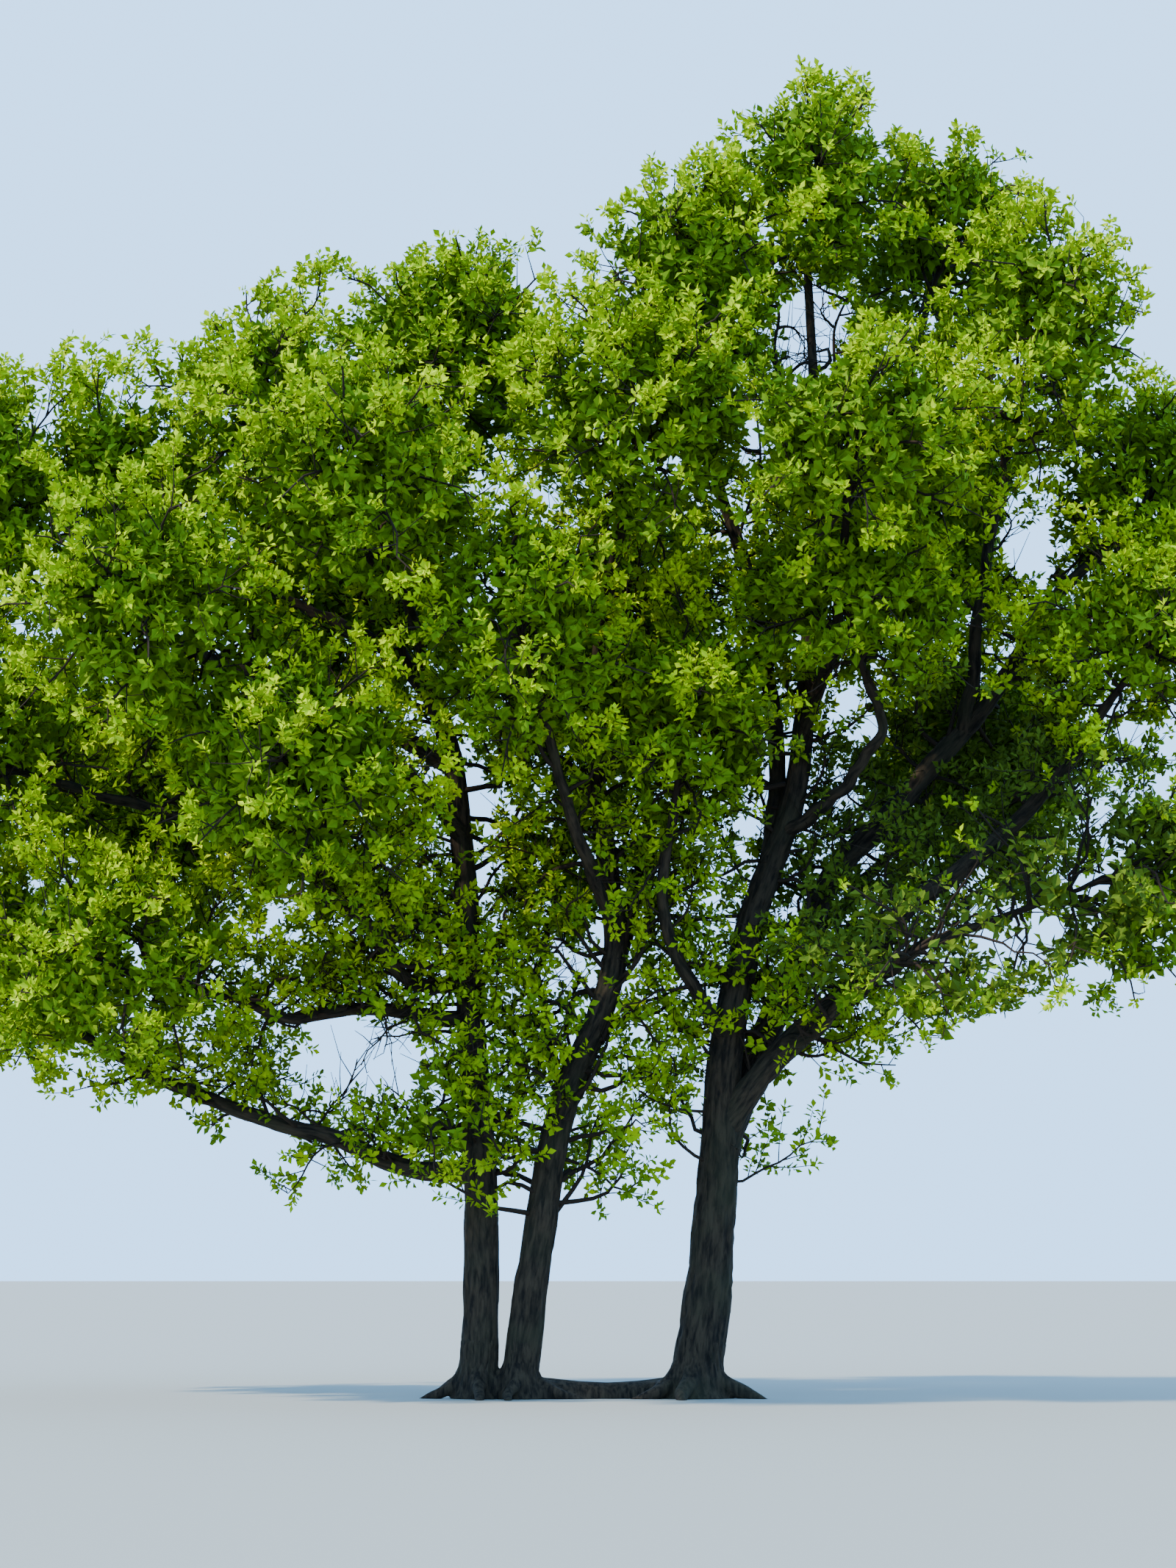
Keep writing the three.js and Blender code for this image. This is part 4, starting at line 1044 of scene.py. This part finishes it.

# %% Leaf greens
# The youngest leaves, at the outer ends, are the yellowest, and those that unfolded first,
# inside the crown, a fuller green. Over that the greens carry painted light and shade:
# yellower high in each mass and clump, deeper green under the clumps and deep in the
# masses, deepest low on the right under the crown.
GREENS = [
    plain("young_leaf_yellow_green", "#a2ba02", 0.55, 0.04),
    plain("young_leaf_bright_green", "#90aa04", 0.55, 0.04),
    plain("spring_leaf_green", "#7f9a0a", 0.55, 0.04),
    plain("shaded_leaf_green", "#638211", 0.6, 0.04),
    plain("deep_shade_leaf_green", "#4f6419", 0.6, 0.04),
]
# Both stand for painted shade: the shaded green deep in each mass, and the deep one low on the right under
# the crown.
SHADED, PAINTED_DEEP_SHADE = 3, 4  # the last two of them
print("greens:", [m.name for m in GREENS])

# %% [markdown]
# ## Sprays on every end
# Geometry Nodes set a spray on each twig's end. Each point holds the spray's heading, its
# turn, its size, which of the six sprays it takes and which green. Instances are made real
# at the end, because a file for exchange would lose them.

# %% The tree that sets the sprays
def leaf_tree():
    tree, given = new_tree("leaves_on_twigs", {"Ends": "Geometry", "Sprays": "Collection",
        "Leaf Length": "Float", **{m.name: "Material" for m in GREENS}})
    ends = add(tree, "GeometryNodeMeshToPoints", {0: given["Ends"]}).outputs[0]
    several = add(tree, "GeometryNodeCollectionInfo", {"Collection": given["Sprays"],
        "Separate Children": True, "Reset Children": True}).outputs[0]
    ahead = stored(tree, "heading", "FLOAT_VECTOR")
    faced = add(tree, "FunctionNodeAlignRotationToVector", {"Vector": ahead}, axis="Z")
    spin = add(tree, "FunctionNodeAxisAngleToRotation", {"Axis": (0, 0, 1), "Angle": stored(tree, "turn")})
    facing = add(tree, "FunctionNodeRotateRotation", {0: faced.outputs[0], 1: spin.outputs[0]},
        rotation_space="LOCAL").outputs[0]
    size = reckon(tree, "MULTIPLY", stored(tree, "size"), given["Leaf Length"])
    made = add(tree, "GeometryNodeInstanceOnPoints", {"Points": ends, "Instance": several,
        "Pick Instance": True, "Instance Index": stored(tree, "kind", "INT"), "Rotation": facing,
        "Scale": size}).outputs[0]
    made = add(tree, "GeometryNodeRealizeInstances", {"Geometry": made}).outputs[0]
    tint = stored(tree, "green", "INT")
    for i, green in enumerate(GREENS):
        chosen = add(tree, "FunctionNodeCompare", {2: tint, 3: i}, data_type="INT", operation="EQUAL")
        made = add(tree, "GeometryNodeSetMaterial", {"Geometry": made, "Selection": chosen.outputs[0],
            "Material": given[green.name]}).outputs[0]
    add(tree, "NodeGroupOutput", {0: made})
    return tree


# %% Ends clear of the limbs
CLEAR = 0.1  # from the bark to the foot of a spray

marks = [(p, r) for limb in limbs.values() for p, r in zip(limb["path"][::4], limb["radius"][::4])]
wood = finder([point for point, _ in marks])


def clear_of_wood(places):
    found = [wood.find(place) for place in places]
    return np.array([distance > marks[i][1] + CLEAR for _, i, distance in found], bool)


def greens_for(sprays, space, random):
    """Yellow at the outer and upper ends of a clump, deep green inside and underneath: young leaves at the
    outer ends, painted light on top, painted shade inside, underneath and low on the right.
    """
    high = 0 if space is None else (sprays[:, 2] - space["middle"][2]) / space["reach"][2]
    # Painted light and shade: a lighter green high in each mass and on top of each clump, a deeper one under
    # them.
    youth_and_painted_light = 0.5 * sprays[:, DEPTH] + 0.12 * high + 0.2 * sprays[:, LIFT] + random.normal(0, 0.1, len(sprays))
    # Painted shade: low on the right, under the crown, the greens are made deeper.
    painted_shade_low_right = in_opening(sprays[:, :3], random.uniform(1, 1.5, len(sprays)), THIN)
    painted_shade_low_right &= sprays[:, 1] < PAINTED_SHADE_NEARER
    tints = np.digitize(PAINTED_SHADE_DEEPER * painted_shade_low_right - youth_and_painted_light, [-0.56, -0.42, -0.27])
    # Every spray deep in a mass takes the shaded green: partly the fuller green of older leaves, partly
    # painted shade inside the mass.
    tints[sprays[:, DEPTH] < SHADE] = SHADED
    return np.where(painted_shade_low_right & (tints == SHADED), PAINTED_DEEP_SHADE, tints)


# %% Leaves on the crown
leaf_setter = leaf_tree()
leaves = {}
for part, names in PARTS.items():
    random = np.random.default_rng(900 + len(leaves))
    rows, tints = [], []
    for name in names + (["inner_branches"] if part == "inner" else []):
        some = np.vstack(growths.get(name, inner_growth).sprays)
        some = some[clear_of_wood(some[:, :3])]
        rows.append(some)
        tints.append(greens_for(some, spaces.get(name), random))
    rows, tints = np.vstack(rows), np.concatenate(tints)
    count = len(rows)
    shaded = rows[:, DEPTH] < SHADE
    heading = unit(rows[:, 3:6] * 0.6 + UP * 0.22 + random.normal(0, 0.3, (count, 3)))
    turn = random.uniform(0, 6.3, count)
    size = rows[:, SIZE] * np.where(shaded, between(*SHADE_SIZE, rows[:, DEPTH] / SHADE), 1.0)
    in_shade = SUN_KINDS + random.integers(0, SHADE_KINDS, count)
    kind = np.where(shaded, in_shade, random.integers(0, SUN_KINDS, count))
    mesh = bpy.data.meshes.new("ends")
    mesh.from_pydata(rows[:, :3], [], [])
    mark(mesh, "heading", heading, "FLOAT_VECTOR")
    mark(mesh, "turn", turn)
    mark(mesh, "size", size)
    mark(mesh, "kind", kind, "INT")
    mark(mesh, "green", tints, "INT")
    settings = {"Sprays": sprays, "Leaf Length": LEAF_LENGTH, **{m.name: m for m in GREENS}}
    leaves[part] = grown(put("ends", mesh), leaf_setter, settings, f"leaves_{part}")
    print(part, "sprays of each green:", np.bincount(tints, minlength=len(GREENS)),
        "in shade:", int(shaded.sum()))

# %% [markdown]
# ## Light and floor
# Plain soft light, high from the left and a little in front, models the masses: bright tops,
# deep green under them. A pale sky colour all round fills the shade. The floor is plain.

# %% Stage
key = bpy.data.lights.new("key_light", "SUN")
key.energy = 8.4
key.angle = math.radians(3)
key.color = linear("#fff1d8")[:3]
put("key_light", key).rotation_euler = Vector((0.72, 0.34, -0.86)).to_track_quat("-Z", "Y").to_euler()

world = bpy.data.worlds.new("pale_surround")
bpy.context.scene.world = world
world.use_nodes = True
world.node_tree.nodes["Background"].inputs["Color"].default_value = linear("#93c4f7")
world.node_tree.nodes["Background"].inputs["Strength"].default_value = 3.6

shape = bmesh.new()
bmesh.ops.create_grid(shape, x_segments=1, y_segments=1, size=400)
mesh = as_mesh(shape, "pale_floor")
mesh.materials.append(plain("pale_floor_paint", "#8f918b", 0.9, 0.2))
floor = put("pale_floor", mesh)
floor.location.z = -0.002

# %% [markdown]
# ## Fitting it to the model
# Every piece rides on the plant's one body, and the plain solids that it stands for are hidden.

# %% Ride and replace
def fit(piece, nodes):
    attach(piece, "root")
    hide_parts(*nodes)


fit(stool, ["root_stool"])
fit(stems, list(STEMS))
fit(boughs, [f"bough_{name}" for name in BOUGHS])
for part, names in PARTS.items():
    fit(leaves[part], [f"foliage_{name}" for name in names])
    fit(twigs[part], [f"foliage_{name}" for name in names])
